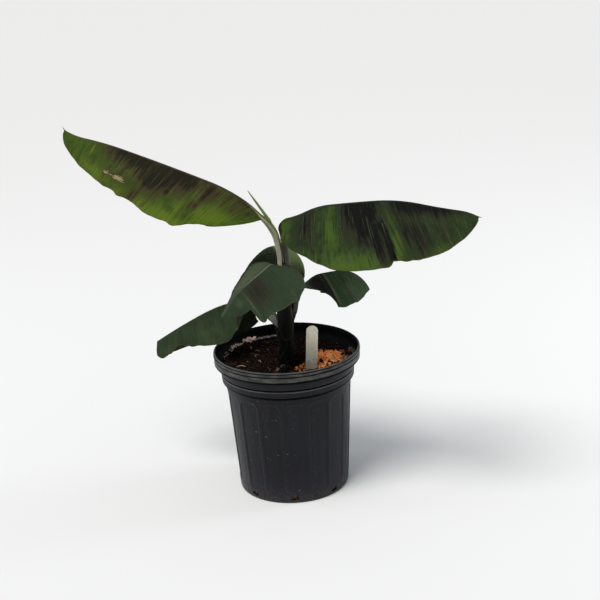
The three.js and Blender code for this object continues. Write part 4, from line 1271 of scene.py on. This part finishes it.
# What lies on the step inside the pot's lip and beside it: turns in degrees, radii, count, sizes and look;
# the thin line of small grey lumps at turns 95 to 120 is a painted highlight along the step's edge
LEDGE = [
    (119, 132, 75, 78, 11, 2.0, 3.4, 0), (133, 148, 74.5, 77.5, 20, 1.0, 2.2, 0),
    (148, 168, 72, 76, 30, 0.5, 1.2, 1), (95, 120, 74.6, 76.5, 80, 0.4, 1.3, 2),
    (-8, 17, 62, 78, 120, 0.5, 1.3, 3),
]
LEDGE_RISE = [(72.5, SOIL_LEVEL + 1), (74.5, LIP_BOTTOM - 0.6), (79.2, LIP_BOTTOM + 1.2)]  # heights by radius
ledge = np.repeat(np.array(LEDGE, float), [part[4] for part in LEDGE], 0).T
turn = np.radians(draws.uniform(ledge[0], ledge[1]))
radius = draws.uniform(ledge[2], ledge[3])
lumps(
    "soil_ledge", np.stack([radius * np.cos(turn), radius * np.sin(turn)], -1),
    draws.uniform(ledge[5], ledge[6]),
    plain_materials(
        0.9, ledge_pink=(0.88, 0.66, 0.52), ledge_pale=(0.42, 0.35, 0.31),
        ledge_grey=(0.32, 0.315, 0.29), ledge_sand=(0.24, 0.18, 0.12),
    ),
    ledge[7].astype(int), (0.4, 0.8), 0.1, np.interp(radius, *np.array(LEDGE_RISE).T),
)
barks = plain_materials(
    0.9, bark_dark=(0.018, 0.011, 0.008), bark_brown=(0.05, 0.027, 0.016), bark_tan=(0.20, 0.12, 0.075))
chip_places = [(-66, 24, 5, 0.15), (-46, 48, 3, 0.2), (66, 8, 4, 0.2), (0, 0, 42, 0.45)]
strew(lumps, "soil_bark", 60, (1.8, 2.6, 1), barks, [0.45, 0.4, 0.15], chip_places, flat=(0.18, 0.35))
threads = plain_materials(
    0.9, fibre_red=(0.10, 0.036, 0.016), fibre_brown=(0.04, 0.02, 0.012),
    fibre_dark=(0.012, 0.007, 0.005), fibre_pale=(0.24, 0.16, 0.09),
)
strew(fibres, "soil_fibres", 1700, (3, 9, 1.5), threads, [0.34, 0.3, 0.32, 0.04], radius=0.17)
straws = plain_materials(0.9, straw_pale=(0.48, 0.42, 0.30), straw_tan=(0.28, 0.19, 0.10))
straw_places = [(-53, -13, 2.5, 0.15), (0, 0, 38, 0.85)]
strew(fibres, "soil_straw", 34, (4, 9, 1), straws, [0.45, 0.55], straw_places, radius=0.42)


# The plant label, bare

def label_material():
    t = Tree("plant_label")
    place = t.place()
    smear = t.noise(place, (180, 180, 60), 4.0, 0.6)
    colour = t.mix(t.ramp(smear, 0.45, 0.7), (0.98, 0.91, 0.72), (0.82, 0.75, 0.58))
    low = t.plus(t.ramp(t.split(place)[2], 0.168, 0.150), t.times(t.math("SUBTRACT", smear, 0.5), 1.4))
    colour = t.over(colour, t.ramp(low, 0.3, 0.9), 0.35, (0.16, 0.12, 0.08))
    return t.finish(colour, 0.42, t.relief(smear, 0.0002, 0.3))


def make_label():
    """A flat tag, round above and tapered below, its edges broken by a small bevel."""
    half, tip, middle = LABEL_WIDTH / 2, LABEL_TIP / 2, LABEL_LENGTH / 2
    shoulder = LABEL_LENGTH - half
    arc, side = np.linspace(0, np.pi, 25), np.linspace(LABEL_POINT, shoulder - 1, 40)
    x = np.concatenate([[-tip, tip], np.full(len(side), half), half * np.cos(arc), np.full(len(side), -half)])
    z = np.concatenate([[0, 0], side, shoulder + half * np.sin(arc), side[::-1]]) - middle
    rings = []
    for inset, depth in LABEL_EDGE:
        up = z * (1 - inset / middle)
        rings.append(np.stack([x * (1 - inset / half), depth + 0.5 * (up / middle) ** 2, middle + up], -1))
    points, faces = capped(rings, [[0, -0.5, middle], [0, 0.5, middle]])
    c, s = math.cos(math.radians(LABEL_LEAN)), math.sin(math.radians(LABEL_LEAN))
    x, y, z = points.T
    points = np.stack([x * c + z * s, y, z * c - x * s], -1) + LABEL_PLACE
    made = mesh_object("plant_label_bare", points, faces, [label_material()], smooth=False)
    dress(made, "label", "plant_label")


make_label()


# Floor, lights and camera

def add_light(kind, name, place, aim, power, colour, **settings):
    lamp = bpy.data.lights.new(name, kind)
    lamp.energy = power
    lamp.color = colour
    for key, value in settings.items():
        setattr(lamp, key, value)
    made = bpy.data.objects.new(name, lamp)
    made.location = place
    made.rotation_euler = (Vector(aim) - Vector(place)).to_track_quat("-Z", "Y").to_euler()
    bpy.context.scene.collection.objects.link(made)


def add_floor():
    corners = np.array([(-1, -1, 0), (1, -1, 0), (1, 1, 0), (-1, 1, 0)]) * FLOOR_SIZE / 2 - [0, 0, FLOOR_SUNK]
    paint = plain_material("floor", (0.82, 0.82, 0.81))
    made = mesh_object("floor", corners, [np.array([[0, 1, 2, 3]])], [paint])


FLOOR_SIZE = 60000
FLOOR_SUNK = 0.05  # so that it doesn't share the pot's underside
SIDE_AIM = (0, 0, 0.15)  # in metres, as the lights' places
SKY_BLUE = (0.84, 0.92, 1.0)
add_floor()
add_light("SUN", "key", (-0.5, -0.58, 1.35), (0, 0, 0), 2.35, (1.0, 0.985, 0.96), angle=math.radians(30))
for name, place, power in (("left_side", (-1.5, 0.25, 0.5), 3.6), ("right_side", (1.5, 0.3, 0.55), 6)):
    add_light("AREA", name, place, SIDE_AIM, power, SKY_BLUE, shape="RECTANGLE", size=0.5, size_y=1.1)

world = bpy.data.worlds.new("studio")
world.use_nodes = True
background = world.node_tree.nodes["Background"].inputs
background["Color"].default_value = (0.93, 0.96, 1.0, 1)
background["Strength"].default_value = 0.42
bpy.context.scene.world = world
bpy.context.scene.view_settings.view_transform = "Standard"


def add_camera():
    elevation, roll = math.radians(CAMERA_ELEVATION), math.radians(CAMERA_ROLL)
    back = Vector((0, -math.cos(elevation), math.sin(elevation)))
    right = Vector((1, 0, 0))
    up = back.cross(right)
    x = right * math.cos(roll) + up * math.sin(roll)
    y = up * math.cos(roll) - right * math.sin(roll)
    place = (Vector(CAMERA_TARGET) + back * CAMERA_DISTANCE) * MM
    camera = bpy.data.cameras.new("camera")
    camera.sensor_width = SENSOR
    camera.lens = SENSOR * FOCAL_SHARE
    made = bpy.data.objects.new("camera", camera)
    columns = Matrix((x, y, back)).transposed().to_4x4()
    made.matrix_world = Matrix.Translation(place) @ columns
    bpy.context.scene.collection.objects.link(made)
    bpy.context.scene.camera = made


add_camera()
